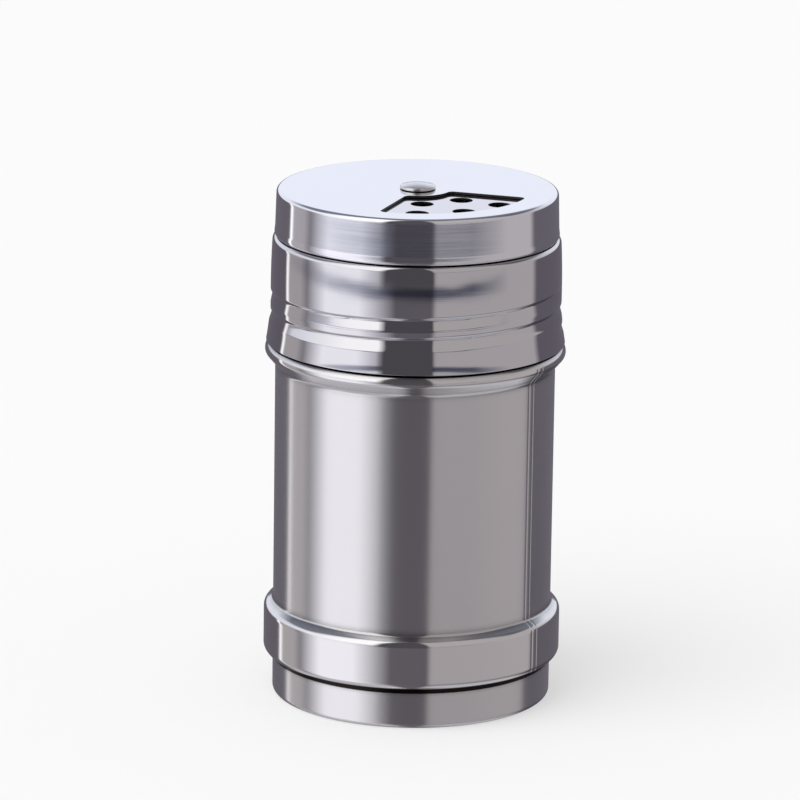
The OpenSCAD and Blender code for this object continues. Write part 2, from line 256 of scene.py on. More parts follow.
class ShakerSettings(bpy.types.PropertyGroup):
    """All the settings of the shaker"""

    sheet: bpy.props.PointerProperty(type=SheetSizes)
    jar: bpy.props.PointerProperty(type=JarSizes)
    lid: bpy.props.PointerProperty(type=LidSizes)
    top: bpy.props.PointerProperty(type=TopSizes)
    pivot: bpy.props.PointerProperty(type=PivotSizes)
    finish: bpy.props.PointerProperty(type=Finish)
    stage: bpy.props.PointerProperty(type=StageLook)


# How finely a bend is drawn: no point further from the next than this turn and this chord
BEND_STEP = math.radians(5)
CHORD = 0.35 * MM

# Columns of faces round the lid, the cap and the bottom, round the tube, round the spring washer and
# round the rivet and the flat washer
COLUMNS = 224
TUBE_COLUMNS = 192
SPRING_COLUMNS = 144
SMALL_COLUMNS = 96

# Columns on each side of the middle of each of the weld's grooves
SEAM_COLUMNS = 4

# A point nearer to the axis than this is a pole
ON_AXIS = 0.0001 * MM

# Points on a tumbled quarter of a cut edge, in degrees
QUARTER = (22.5, 45, 67.5)

# Distance between the rings of points where a thread is rolled into the lid and the neck, and along
# the spring washer
LID_RING_STEP = 0.22 * MM
NECK_RING_STEP = 0.26 * MM
SPRING_RING_STEP = 0.4 * MM

# Distance of a supporting point from the end of a straight, and how many such gaps make it long
SUPPORT_GAP = 0.12 * MM
RIVET_GAP = 0.03 * MM
LONG_STRAIGHT = 4

# Sharpest bend that is still shaded smooth
SHARP = math.radians(34)


def heading(a, b):
    """Unit direction from one corner of a path to the next."""
    return (Vector(b[:2]) - Vector(a[:2])).normalized()


def left_of(d):
    """Direction a quarter turn to the left of another, which points into the sheet."""
    return Vector((-d.y, d.x))


def bend(path, i, depth):
    """Points of the bend at corner i of a path, at a depth below the outer face."""
    u, v = heading(path[i - 1], path[i]), heading(path[i], path[i + 1])
    turn = math.atan2(u.x * v.y - u.y * v.x, u.dot(v))
    radius = path[i][2]
    side = math.copysign(1, turn)
    centre = Vector(path[i][:2]) - u * radius * math.tan(abs(turn) / 2) + left_of(u) * side * radius
    steps = max(2, math.ceil(abs(turn) / BEND_STEP), math.ceil(abs(turn) * radius / CHORD))
    points = []
    for k in range(steps + 1):
        a = turn * k / steps
        d = Vector((u.x * math.cos(a) - u.y * math.sin(a), u.x * math.sin(a) + u.y * math.cos(a)))
        points.append(centre - left_of(d) * (side * radius - depth))
    return points


def face(path, depth, edge):
    """One face of the sheet along a path, at a depth below the outer face, short of its cut ends."""
    first, last = heading(path[0], path[1]), heading(path[-2], path[-1])
    start = Vector(path[0][:2]) + left_of(first) * depth
    end = Vector(path[-1][:2]) + left_of(last) * depth
    points = [start + first * edge if path[0][0] > 0 else start]
    for i in range(1, len(path) - 1):
        points += bend(path, i, depth)
    points.append(end - last * edge)
    return points


def cut_edge(corner, along, across, wall, edge):
    """The tumbled cut edge at an end of the sheet, from its outer to its inner face."""
    points = []
    for depth, low in ((edge, -90), (wall - edge, 0)):
        centre = Vector(corner[:2]) - along * edge + across * depth
        for a in QUARTER:
            t = math.radians(low + a)
            points.append(centre + along * (edge * math.cos(t)) + across * (edge * math.sin(t)))
    return points


def sheet_outline(path, wall, edge):
    """Closed outline of a sheet, from the path of its outer face."""
    ahead = heading(path[-2], path[-1])
    outline = face(path, 0, edge) + cut_edge(path[-1], ahead, left_of(ahead), wall, edge)
    outline += reversed(face(path, wall, edge))
    if path[0][0] > 0:
        back = heading(path[1], path[0])
        outline += reversed(cut_edge(path[0], back, -left_of(back), wall, edge))
    return [tuple(p) for p in outline]


def with_rings(outline, step, low, high):
    """The outline with more points between two heights, a step apart."""
    points = []
    for a, b in zip(outline, outline[1:] + outline[:1]):
        points.append(a)
        if max(a[1], b[1]) < low or min(a[1], b[1]) > high:
            continue
        pieces = math.ceil(math.dist(a, b) / step)
        for k in range(1, pieces):
            points.append((a[0] + (b[0] - a[0]) * k / pieces, a[1] + (b[1] - a[1]) * k / pieces))
    return points


def with_supports(outline, gap):
    """The outline with a point close to both ends of each long straight, so that its shading stays flat."""
    points = []
    for a, b in zip(outline, outline[1:] + outline[:1]):
        points.append(a)
        long = math.dist(a, b)
        if long > LONG_STRAIGHT * gap and min(a[0], b[0]) > 0:
            for t in (gap / long, 1 - gap / long):
                points.append((a[0] + (b[0] - a[0]) * t, a[1] + (b[1] - a[1]) * t))
    return points


def even_directions(count):
    """Directions of evenly spaced columns round the axis."""
    return [2 * math.pi * k / count for k in range(count)]


def turned(name, outline, directions=None, dent=None):
    """A closed shell turned from an outline of radii and heights. A dent moves a point along its radius."""
    directions = directions or even_directions(COLUMNS)
    bm = bmesh.new()
    rings = []
    for r, z in outline:
        if r < ON_AXIS:
            rings.append([bm.verts.new((0, 0, z))])
            continue
        ring = []
        for a in directions:
            radius = r + (dent(a, r, z) if dent else 0)
            ring.append(bm.verts.new((radius * math.sin(a), -radius * math.cos(a), z)))
        rings.append(ring)
    count = len(directions)
    for one, two in zip(rings, rings[1:] + rings[:1]):
        for k in range(count):
            n = (k + 1) % count
            corners = [one[0]] if len(one) == 1 else [one[k], one[n]]
            corners += [two[0]] if len(two) == 1 else [two[n], two[k]]
            if len(corners) > 2:
                bm.faces.new(corners)
    return finished(name, bm)


def finished(name, bm):
    """An object from a closed mesh, with its faces outwards and its sharp edges marked."""
    bmesh.ops.recalc_face_normals(bm, faces=bm.faces)
    if bm.calc_volume(signed=True) < 0:
        bmesh.ops.reverse_faces(bm, faces=bm.faces)
    mesh = bpy.data.meshes.new(name)
    bm.to_mesh(mesh)
    bm.free()
    obj = bpy.data.objects.new(name, mesh)
    bpy.context.scene.collection.objects.link(obj)
    shade(mesh)
    return obj


def shade(mesh):
    """Smooth faces with sharp edges where the sheet is cut."""
    mesh.shade_smooth()
    mesh.set_sharp_from_angle(angle=SHARP)


# An arc of the window has a point for every step, and no fewer than the least
ARC_STEP = math.radians(3)
LEAST_ARC_STEPS = 8


def sector_outline(inner, outer, span, corner, grow):
    """Outline of a sector of a ring with round corners, its middle towards the front, grown by an offset."""
    half = span / 2
    radius = corner + grow
    out_a = half - math.asin(corner / (outer - corner))
    in_a = half - math.asin(corner / (inner + corner))
    quarter = math.pi / 2
    arcs = [
        (0, 0, outer + grow, -out_a, out_a),
        (outer - corner, out_a, radius, out_a, half + quarter),
        (inner + corner, in_a, radius, half + quarter, in_a + 2 * quarter),
        (0, 0, inner - grow, in_a, -in_a),
        (inner + corner, -in_a, radius, -in_a - 2 * quarter, -half - quarter),
        (outer - corner, -out_a, radius, -half - quarter, -out_a),
    ]
    points = []
    for r, a, arc_r, start, end in arcs:
        centre = Vector((r * math.sin(a), -r * math.cos(a)))
        steps = max(LEAST_ARC_STEPS, math.ceil(abs(end - start) / ARC_STEP))
        for k in range(steps):
            t = start + (end - start) * k / steps
            points.append(centre + Vector((math.sin(t), -math.cos(t))) * arc_r)
    return points


def sector_cutter(name, top, turn, z_top, sheet):
    """A punch in the shape of the window, wider above the sheet so that it leaves a rounded edge."""
    bm = bmesh.new()
    reach = 2 * sheet
    levels = [(z_top - reach, 0), (z_top - top.burr, 0), (z_top + sheet, sheet + top.burr)]
    rings = []
    for z, grow in levels:
        outline = sector_outline(top.window_inner, top.window_outer, top.window_span, top.window_corner, grow)
        ring = []
        for p in outline:
            x = p.x * math.cos(turn) - p.y * math.sin(turn)
            y = p.x * math.sin(turn) + p.y * math.cos(turn)
            ring.append(bm.verts.new((x, y, z)))
        rings.append(ring)
    for one, two in zip(rings, rings[1:]):
        for k in range(len(one)):
            n = (k + 1) % len(one)
            bm.faces.new((one[k], one[n], two[n], two[k]))
    bm.faces.new(rings[0])
    bm.faces.new(rings[-1])
    return finished(name, bm)


def punched(obj, cutter, edge):
    """Cuts the punch out of the sheet, gives the cut faces a material and removes the punch."""
    obj.data.materials.append(edge)
    for polygon in cutter.data.polygons:
        polygon.material_index = len(obj.data.materials) - 1
    cut = obj.modifiers.new("punch", "BOOLEAN")
    cut.operation = "DIFFERENCE"
    cut.solver = "MANIFOLD"
    cut.object = cutter
    made_plain(obj)
    bpy.data.objects.remove(cutter)


def made_plain(obj):
    """Turns what the modifiers make into the object's own mesh."""
    graph = bpy.context.evaluated_depsgraph_get()
    mesh = bpy.data.meshes.new_from_object(obj.evaluated_get(graph))
    obj.modifiers.clear()
    old = obj.data
    obj.data = mesh
    bpy.data.meshes.remove(old)
    mesh.name = obj.name
    shade(mesh)


def add_node(tree, kind, inputs=None, **settings):
    """Adds a node with its settings. An input is a value, a socket, or a list of sockets."""
    node = tree.nodes.new(kind)
    for key, value in settings.items():
        setattr(node, key, value)
    for key, value in (inputs or {}).items():
        sockets = value if isinstance(value, list) else [value]
        if isinstance(sockets[0], bpy.types.NodeSocket):
            for socket in sockets:
                tree.links.new(socket, node.inputs[key])
        else:
            node.inputs[key].default_value = value
    return node


def new_tree(name, sizes):
    """An empty geometry tree with named inputs. Returns the tree and its input sockets by name."""
    tree = bpy.data.node_groups.new(name, "GeometryNodeTree")
    tree.interface.new_socket(name="Geometry", in_out="INPUT", socket_type="NodeSocketGeometry")
    tree.interface.new_socket(name="Geometry", in_out="OUTPUT", socket_type="NodeSocketGeometry")
    for size, kind in sizes.items():
        tree.interface.new_socket(name=size, in_out="INPUT", socket_type=kind)
    group = tree.nodes.new("NodeGroupInput")
    return tree, group.outputs


def apply_tree(obj, tree, values):
    """Runs a geometry tree on an object and keeps the result as its mesh."""
    nodes = obj.modifiers.new(tree.name, "NODES")
    nodes.node_group = tree
    for item in tree.interface.items_tree:
        if item.in_out == "INPUT" and item.name in values:
            nodes[item.identifier] = values[item.name]
    made_plain(obj)


def end_tree(tree, geometry, material, faces=True):
    """Ends a tree in Realize Instances and Set Material, on all faces or on the faces given."""
    real = add_node(tree, "GeometryNodeRealizeInstances", {"Geometry": geometry})
    named = add_node(tree, "GeometryNodeSetMaterial", {
        "Geometry": real.outputs[0], "Selection": faces, "Material": material})
    add_node(tree, "NodeGroupOutput", {"Geometry": named.outputs[0]})


# The thread: how many times it may pass one direction, and where its crest lies in its upper flank
THREAD_PASSES = 3
CREST_SHARE = 0.25


def thread_tree(passes):
    """Rolls a helical thread into the walls that lie at its heights."""
    tree, size = new_tree("roll_thread", {
        "Start Height": "NodeSocketFloat", "Pitch": "NodeSocketFloat", "Over": "NodeSocketFloat",
        "Under": "NodeSocketFloat", "Depth": "NodeSocketFloat", "Turns": "NodeSocketFloat",
        "Start Direction": "NodeSocketFloat", "Fade": "NodeSocketFloat", "Material": "NodeSocketMaterial",
    })
    place = add_node(tree, "GeometryNodeInputPosition")
    axis = add_node(tree, "ShaderNodeSeparateXYZ", {0: place.outputs[0]})
    front = add_node(tree, "ShaderNodeMath", {0: axis.outputs[1], 1: -1.0}, operation="MULTIPLY")
    way = add_node(tree, "ShaderNodeMath", {0: axis.outputs[0], 1: front.outputs[0]}, operation="ARCTAN2")
    past = add_node(
        tree, "ShaderNodeMath", {0: way.outputs[0], 1: size["Start Direction"]}, operation="SUBTRACT")
    whole = add_node(tree, "ShaderNodeMath", {0: past.outputs[0], 1: math.tau, 2: 0.0}, operation="WRAP")
    part = add_node(tree, "ShaderNodeMath", {0: whole.outputs[0], 1: math.tau}, operation="DIVIDE")
    crest = add_node(tree, "ShaderNodeMath", {0: size["Over"], 1: CREST_SHARE}, operation="MULTIPLY")
    foot = add_node(tree, "ShaderNodeMath", {0: size["Under"], 1: -1.0}, operation="MULTIPLY")
    faded = add_node(tree, "ShaderNodeMath", {0: size["Turns"], 1: size["Fade"]}, operation="SUBTRACT")
    total = None
    for turn in range(passes):
        run = add_node(tree, "ShaderNodeMath", {0: part.outputs[0], 1: float(turn)}, operation="ADD")
        middle = add_node(
            tree, "ShaderNodeMath", {0: run.outputs[0], 1: size["Pitch"], 2: size["Start Height"]},
            operation="MULTIPLY_ADD")
        off = add_node(
            tree, "ShaderNodeMath", {0: axis.outputs[2], 1: middle.outputs[0]}, operation="SUBTRACT")
        lower = add_node(tree, "ShaderNodeMapRange", {
            "Value": off.outputs[0], "From Min": foot.outputs[0], "From Max": crest.outputs[0]})
        upper = add_node(tree, "ShaderNodeMapRange", {
            "Value": off.outputs[0], "From Min": size["Over"], "From Max": crest.outputs[0],
        }, interpolation_type="SMOOTHSTEP")
        bulge = add_node(
            tree, "ShaderNodeMath", {0: lower.outputs[0], 1: upper.outputs[0]}, operation="MINIMUM")
        begun = add_node(tree, "ShaderNodeMapRange", {
            "Value": run.outputs[0], "From Min": 0.0, "From Max": size["Fade"],
        }, interpolation_type="SMOOTHSTEP")
        ended = add_node(tree, "ShaderNodeMapRange", {
            "Value": run.outputs[0], "From Min": size["Turns"], "From Max": faded.outputs[0],
        }, interpolation_type="SMOOTHSTEP")
        both = add_node(
            tree, "ShaderNodeMath", {0: begun.outputs[0], 1: ended.outputs[0]}, operation="MULTIPLY")
        here = add_node(
            tree, "ShaderNodeMath", {0: both.outputs[0], 1: bulge.outputs[0]}, operation="MULTIPLY")
        if total is not None:
            here = add_node(
                tree, "ShaderNodeMath", {0: here.outputs[0], 1: total.outputs[0]}, operation="MAXIMUM")
        total = here
    deep = add_node(tree, "ShaderNodeMath", {0: total.outputs[0], 1: size["Depth"]}, operation="MULTIPLY")
    flat = add_node(tree, "ShaderNodeVectorMath", {0: place.outputs[0], 1: (1, 1, 0)}, operation="MULTIPLY")
    outward = add_node(tree, "ShaderNodeVectorMath", {0: flat.outputs[0]}, operation="NORMALIZE")
    push = add_node(
        tree, "ShaderNodeVectorMath", {0: outward.outputs[0], "Scale": deep.outputs[0]}, operation="SCALE")
    rolled = add_node(
        tree, "GeometryNodeSetPosition", {"Geometry": size["Geometry"], "Offset": push.outputs[0]})
    end_tree(tree, rolled.outputs[0], size["Material"])
    return tree


# A punch for a round hole: its sides, and the height over its middle from which it flares
HOLE_SIDES = 48
FLARE_FROM = 0.01 * MM


def row_tree():
    """Punches for one row of holes: an arc of points with a flared cylinder on each."""
    tree, size = new_tree("punch_row", {
        "Count": "NodeSocketInt", "Row Radius": "NodeSocketFloat", "Middle": "NodeSocketFloat",
        "Spread": "NodeSocketFloat", "Hole Radius": "NodeSocketFloat", "Height": "NodeSocketFloat",
        "Reach": "NodeSocketFloat",
    })
    points = add_node(tree, "GeometryNodePoints", {"Count": size["Count"]})
    index = add_node(tree, "GeometryNodeInputIndex")
    gaps = add_node(tree, "ShaderNodeMath", {0: size["Count"], 1: 1.0}, operation="SUBTRACT")
    part = add_node(tree, "ShaderNodeMath", {0: index.outputs[0], 1: gaps.outputs[0]}, operation="DIVIDE")
    centred = add_node(tree, "ShaderNodeMath", {0: part.outputs[0], 1: 0.5}, operation="SUBTRACT")
    way = add_node(
        tree, "ShaderNodeMath", {0: centred.outputs[0], 1: size["Spread"], 2: size["Middle"]},
        operation="MULTIPLY_ADD")
    sine = add_node(tree, "ShaderNodeMath", {0: way.outputs[0]}, operation="SINE")
    cosine = add_node(tree, "ShaderNodeMath", {0: way.outputs[0]}, operation="COSINE")
    behind = add_node(tree, "ShaderNodeMath", {0: size["Row Radius"], 1: -1.0}, operation="MULTIPLY")
    x = add_node(tree, "ShaderNodeMath", {0: sine.outputs[0], 1: size["Row Radius"]}, operation="MULTIPLY")
    y = add_node(tree, "ShaderNodeMath", {0: cosine.outputs[0], 1: behind.outputs[0]}, operation="MULTIPLY")
    spot = add_node(tree, "ShaderNodeCombineXYZ", {0: x.outputs[0], 1: y.outputs[0], 2: size["Height"]})
    placed = add_node(
        tree, "GeometryNodeSetPosition", {"Geometry": points.outputs[0], "Position": spot.outputs[0]})
    tall = add_node(tree, "ShaderNodeMath", {0: size["Reach"], 1: 2.0}, operation="MULTIPLY")
    punch = add_node(tree, "GeometryNodeMeshCylinder", {
        "Vertices": HOLE_SIDES, "Side Segments": 2, "Radius": size["Hole Radius"], "Depth": tall.outputs[0]})
    place = add_node(tree, "GeometryNodeInputPosition")
    axis = add_node(tree, "ShaderNodeSeparateXYZ", {0: place.outputs[0]})
    upper = add_node(tree, "ShaderNodeMath", {0: axis.outputs[2], 1: FLARE_FROM}, operation="GREATER_THAN")
    flat = add_node(tree, "ShaderNodeVectorMath", {0: place.outputs[0], 1: (1, 1, 0)}, operation="MULTIPLY")
    outward = add_node(tree, "ShaderNodeVectorMath", {0: flat.outputs[0]}, operation="NORMALIZE")
    widen = add_node(
        tree, "ShaderNodeVectorMath", {0: outward.outputs[0], "Scale": size["Reach"]}, operation="SCALE")
    flared = add_node(tree, "GeometryNodeSetPosition", {
        "Geometry": punch.outputs[0], "Selection": upper.outputs[0], "Offset": widen.outputs[0]})
    row = add_node(
        tree, "GeometryNodeInstanceOnPoints", {"Points": placed.outputs[0], "Instance": flared.outputs[0]})
    add_node(tree, "NodeGroupOutput", {"Geometry": row.outputs[0]})
    return tree


def perforation_tree(rows):
    """Punches rows of holes through the lid. A row is its count, radius, spread, hole radius and turn."""
    row_punch = row_tree()
    tree, size = new_tree("perforate", {
        "Middle": "NodeSocketFloat", "Height": "NodeSocketFloat", "Reach": "NodeSocketFloat",
        "Edge": "NodeSocketMaterial",
    })
    punches = []
    for count, radius, spread, hole, turn in rows:
        middle = add_node(tree, "ShaderNodeMath", {0: size["Middle"], 1: turn}, operation="ADD")
        row = add_node(tree, "GeometryNodeGroup", node_tree=row_punch)
        sizes = {"Count": count, "Row Radius": radius, "Spread": spread, "Hole Radius": hole}
        for key, value in sizes.items():
            row.inputs[key].default_value = value
        tree.links.new(middle.outputs[0], row.inputs["Middle"])
        tree.links.new(size["Height"], row.inputs["Height"])
        tree.links.new(size["Reach"], row.inputs["Reach"])
        punches.append(row.outputs[0])
    joined = add_node(tree, "GeometryNodeJoinGeometry", {0: punches})
    solid = add_node(tree, "GeometryNodeRealizeInstances", {0: joined.outputs[0]})
    marked = add_node(
        tree, "GeometryNodeSetMaterial", {"Geometry": solid.outputs[0], "Material": size["Edge"]})
    cut = add_node(
        tree, "GeometryNodeMeshBoolean", {"Mesh 1": size["Geometry"], "Mesh 2": marked.outputs[0]},
        operation="DIFFERENCE", solver="MANIFOLD")
    walls = add_node(tree, "GeometryNodeMaterialSelection", {0: size["Edge"]})
    end_tree(tree, cut.outputs[0], size["Edge"], walls.outputs[0])
    return tree


def wave_tree():
    """Presses waves into a flat ring."""
    tree, size = new_tree("press_waves", {
        "Waves": "NodeSocketInt", "Swing": "NodeSocketFloat", "Material": "NodeSocketMaterial",
    })
    place = add_node(tree, "GeometryNodeInputPosition")
    axis = add_node(tree, "ShaderNodeSeparateXYZ", {0: place.outputs[0]})
    way = add_node(tree, "ShaderNodeMath", {0: axis.outputs[1], 1: axis.outputs[0]}, operation="ARCTAN2")
    phase = add_node(tree, "ShaderNodeMath", {0: way.outputs[0], 1: size["Waves"]}, operation="MULTIPLY")
    wave = add_node(tree, "ShaderNodeMath", {0: phase.outputs[0]}, operation="COSINE")
    rise = add_node(
        tree, "ShaderNodeMath", {0: wave.outputs[0], 1: size["Swing"], 2: size["Swing"]},
        operation="MULTIPLY_ADD")
    up = add_node(tree, "ShaderNodeCombineXYZ", {2: rise.outputs[0]})
    pressed = add_node(
        tree, "GeometryNodeSetPosition", {"Geometry": size["Geometry"], "Offset": up.outputs[0]})
    end_tree(tree, pressed.outputs[0], size["Material"])
    return tree


def new_material(name):
    """A material and its tree, which is empty."""
    material = bpy.data.materials.new(name)
    material.use_nodes = True
    material.node_tree.nodes.clear()
    return material, material.node_tree


# Stainless steel where a punch has sheared it: torn and matt, and painted dark for the shade on the cut walls
# beside the polished sheet
SHEARED_STEEL_AND_SHADE = "#3E3B3C"
SHEARED_ROUGH = (0.4, 0.6)
TEAR = 0.15 * MM
TEAR_DEPTH = 0.01 * MM


def sheared_edge_and_shade():
    """Sheared stainless steel, shared by all the cut edges and painted dark for their shade: it gives the
    holes and the window dark rims.
    """
    known = bpy.data.materials.get("stainless_sheared_edge")
    if known:
        return known
    material, tree = new_material("stainless_sheared_edge")
    place = add_node(tree, "ShaderNodeTexCoord")
    grain = add_node(
        tree, "ShaderNodeTexNoise", {"Vector": place.outputs["Object"], "Scale": 1 / TEAR, "Detail": 2.0})
    rough = add_node(tree, "ShaderNodeMapRange", {
        "Value": grain.outputs[0], "To Min": SHEARED_ROUGH[0], "To Max": SHEARED_ROUGH[1]})
    bump = add_node(tree, "ShaderNodeBump", {"Height": grain.outputs[0], "Distance": TEAR_DEPTH})
    shader = add_node(tree, "ShaderNodeBsdfPrincipled", {
        "Base Color": (*linear(SHEARED_STEEL_AND_SHADE), 1.0), "Metallic": 1.0, "Roughness": rough.outputs[0],
        "Normal": bump.outputs[0]})
    add_node(tree, "ShaderNodeOutputMaterial", {"Surface": shader.outputs[0]})
    return material


# A brush line's width as a share of its length. Real brush lines are a few hundredths of a millimetre
# wide, too fine to show in the render, so each steel draws them as coarse as they need to show
LINE_WIDTH_SHARE = 0.02

# Shares of the brush lines and of the smeared patches in the roughness, and the noise's usual reach
BRUSH_SHARE = 0.6
PATCH_SHARE = 0.4
NOISE_REACH = (0.3, 0.7)

# Share of the lines' depth that buffing leaves
BUFFED_DEPTH_SHARE = 0.15

# Distance from dent to dent of the drawn sheet
DENT_STEP = 9 * MM

# Painted shade in narrow gaps: its colour, and how far and with how many samples a spot is tested for walls
PAINTED_GAP_SHADE = "#241F1D"
GAP_REACH = 1.9 * MM
GAP_SAMPLES = 4

# How open a spot is where its painted shade is wholly dark and where it has none, and the same for the
# tube and the bottom, whose joint gets more painted shade
OPEN_SHUT = (0.15, 0.55)
JOINT_SHUT = (0.6, 0.95)

# No shade is painted below the first of these heights, because the table would count as a wall there
FOOT_UNSHADED = (3 * MM, 5 * MM)

# Stretch over which the painted black shadow line at the joint fades in
JOINT_SOFT = 0.08 * MM

# The Principled shader's turn of the brushing, in turns, that lays it round the axis
ROUND_AXIS = 0.25


def steel(
        name, base, rough, stretch, line, line_depth, patch,
        polish=None, shut=OPEN_SHUT, joint=None, wave=0.0):
    """Stainless steel, brushed or buffed round the axis, with painted shade in its narrow gaps.

    The brushing stretches every reflection across its lines, and the lines break it up a little.
    rough is the roughness from the smoothest to the roughest patch, line the width of a brush line
    in metres, line_depth its depth and patch the size of a smeared patch. polish holds a roughness
    and the lowest height, the highest height and the soft end of each stretch that is buffed smooth.
    shut holds how open a spot is where its painted shade is wholly dark and where it has none.
    joint holds the heights between which the joint is painted black as its shadow, and the lowest few
    millimetres get no painted shade.
    wave is how uneven the drawn sheet is, in metres.
    """
    material, tree = new_material(name)
    place = add_node(tree, "ShaderNodeTexCoord")
    level = add_node(tree, "ShaderNodeSeparateXYZ", {0: place.outputs["Object"]})
    across = LINE_WIDTH_SHARE / line
    lines = add_node(tree, "ShaderNodeMapping", {
        "Vector": place.outputs["Object"], "Scale": (across, across, 1 / line)})
    brush = add_node(tree, "ShaderNodeTexNoise", {
        "Vector": lines.outputs[0], "Scale": 1.0, "Detail": 3.0, "Roughness": 0.6})
    cloud = add_node(
        tree, "ShaderNodeTexNoise", {"Vector": place.outputs["Object"], "Scale": 1 / patch, "Detail": 2.0})
    mixed = add_node(tree, "ShaderNodeMath", {0: brush.outputs[0], 1: BRUSH_SHARE}, operation="MULTIPLY")
    marks = add_node(
        tree, "ShaderNodeMath", {0: cloud.outputs[0], 1: PATCH_SHARE, 2: mixed.outputs[0]},
        operation="MULTIPLY_ADD")
    roughness = add_node(tree, "ShaderNodeMapRange", {
        "Value": marks.outputs[0], "From Min": NOISE_REACH[0], "From Max": NOISE_REACH[1],
        "To Min": rough[0], "To Max": rough[1]}).outputs[0]
    strength = 1.0
    if polish:
        buffed = buffed_share(tree, level.outputs[2], polish["heights"])
        smooth = add_node(
            tree, "ShaderNodeMix", {0: buffed, 2: roughness, 3: polish["rough"]}, data_type="FLOAT")
        roughness = smooth.outputs[0]
        strength = add_node(tree, "ShaderNodeMapRange", {
            "Value": buffed, "To Min": 1.0, "To Max": BUFFED_DEPTH_SHARE}).outputs[0]
    bump = add_node(tree, "ShaderNodeBump", {
        "Height": brush.outputs[0], "Distance": line_depth, "Strength": strength})
    if wave:
        dents = add_node(tree, "ShaderNodeTexNoise", {
            "Vector": place.outputs["Object"], "Scale": 1 / DENT_STEP, "Detail": 1.0})
        bump = add_node(tree, "ShaderNodeBump", {
            "Height": dents.outputs[0], "Distance": wave, "Normal": bump.outputs[0]})
    tangent = add_node(tree, "ShaderNodeTangent", direction_type="RADIAL", axis="Z")
    # Painted shade: the base colour darkens in narrow gaps and, where a joint is given, turns black there as
    # the joint's shadow
    unshaded = unshaded_share(tree, level.outputs[2], shut, joint)
    shown = add_node(tree, "ShaderNodeMix", {
        0: unshaded, 6: (*linear(PAINTED_GAP_SHADE), 1.0), 7: (*base, 1.0)}, data_type="RGBA")
    shader = add_node(tree, "ShaderNodeBsdfPrincipled", {
        "Base Color": shown.outputs[2], "Metallic": 1.0, "Roughness": roughness, "Anisotropic": stretch,
        "Anisotropic Rotation": ROUND_AXIS, "Tangent": tangent.outputs[0], "Normal": bump.outputs[0]})
    add_node(tree, "ShaderNodeOutputMaterial", {"Surface": shader.outputs[0]})
    return material


def buffed_share(tree, level, heights):
    """How much a spot at a height is buffed, from 0 to 1."""
    buffed = None
    for low, high, soft in heights:
        over = add_node(tree, "ShaderNodeMapRange", {
            "Value": level, "From Min": low - soft, "From Max": low + soft})
        under = add_node(tree, "ShaderNodeMapRange", {
            "Value": level, "From Min": high + soft, "From Max": high - soft})
        inside = add_node(
            tree, "ShaderNodeMath", {0: over.outputs[0], 1: under.outputs[0]}, operation="MULTIPLY")
        if buffed is not None:
            inside = add_node(
                tree, "ShaderNodeMath", {0: inside.outputs[0], 1: buffed}, operation="MAXIMUM")
        buffed = inside.outputs[0]
    return buffed


def unshaded_share(tree, level, shut, joint):
    """How free a spot is from the painted shade of narrow gaps and of the joint's shadow line, from 0 to 1.
    """
    closed = add_node(tree, "ShaderNodeAmbientOcclusion", {"Distance": GAP_REACH}, samples=GAP_SAMPLES)
    open_part = add_node(tree, "ShaderNodeMapRange", {
        "Value": closed.outputs["AO"], "From Min": shut[0], "From Max": shut[1]})
    foot = add_node(tree, "ShaderNodeMapRange", {
        "Value": level, "From Min": FOOT_UNSHADED[1], "From Max": FOOT_UNSHADED[0]})
    unshaded = add_node(
        tree, "ShaderNodeMath", {0: open_part.outputs[0], 1: foot.outputs[0]}, operation="MAXIMUM")
    # Painted shadow line: between the joint's heights the colour is wholly dark
    if joint:
        below = add_node(tree, "ShaderNodeMapRange", {
            "Value": level, "From Min": joint[0] + JOINT_SOFT, "From Max": joint[0] - JOINT_SOFT})
        above = add_node(tree, "ShaderNodeMapRange", {
            "Value": level, "From Min": joint[1] - JOINT_SOFT, "From Max": joint[1] + JOINT_SOFT})
        beside = add_node(
            tree, "ShaderNodeMath", {0: below.outputs[0], 1: above.outputs[0]}, operation="MAXIMUM")
        unshaded = add_node(
            tree, "ShaderNodeMath", {0: unshaded.outputs[0], 1: beside.outputs[0]}, operation="MULTIPLY")
    return unshaded.outputs[0]


def dress(obj, material):
    """Gives a piece one material."""
    obj.data.materials.clear()
    obj.data.materials.append(material)


def stand_in(obj, body, node):
    """Puts a finished piece in the place of its solid."""
    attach(obj, body)
    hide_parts(node)


def jar_levels(jar):
    """Heights of the tube's slopes, from the band up to the bead."""
    slope = jar.lip_height + jar.band
    wall = slope + jar.band_slope
    bead = wall + jar.straight
    shelf = bead + jar.bead_slope + jar.bead
    return slope, wall, bead, shelf


def lip_bend(jar):
    """Radius of the bend at the band's lower edge."""
    return min(jar.band_bend, jar.band_radius - jar.wall_radius - jar.lip_play)


# How far the painted shadow line of the joint reaches below and above the band's lower edge
JOINT_BELOW = 1.05 * MM
JOINT_ABOVE = 0.4 * MM


def band_joint(jar):
    """Heights of the painted shadow line at the joint between the bottom and the band."""
    return jar.lip_height - JOINT_BELOW, jar.lip_height + JOINT_ABOVE


def thread_values(lid, up, depth, material):
    """Inputs of the thread tree."""
    return {
        "Start Height": up, "Pitch": lid.pitch, "Over": lid.thread_over, "Under": lid.thread_under,
        "Depth": depth, "Turns": lid.thread_sweep / math.tau, "Start Direction": lid.thread_start,
        "Fade": lid.thread_fade / math.tau, "Material": material,
    }


def thread_height(lid):
    """Height of the lower end of the lid's thread."""
    return lid.edge_height + lid.thread_up


def thread_zone(lid, up):
    """Lowest and highest height that a thread reaches."""
    return up - lid.thread_under, up + lid.pitch * lid.thread_sweep / math.tau + lid.thread_over


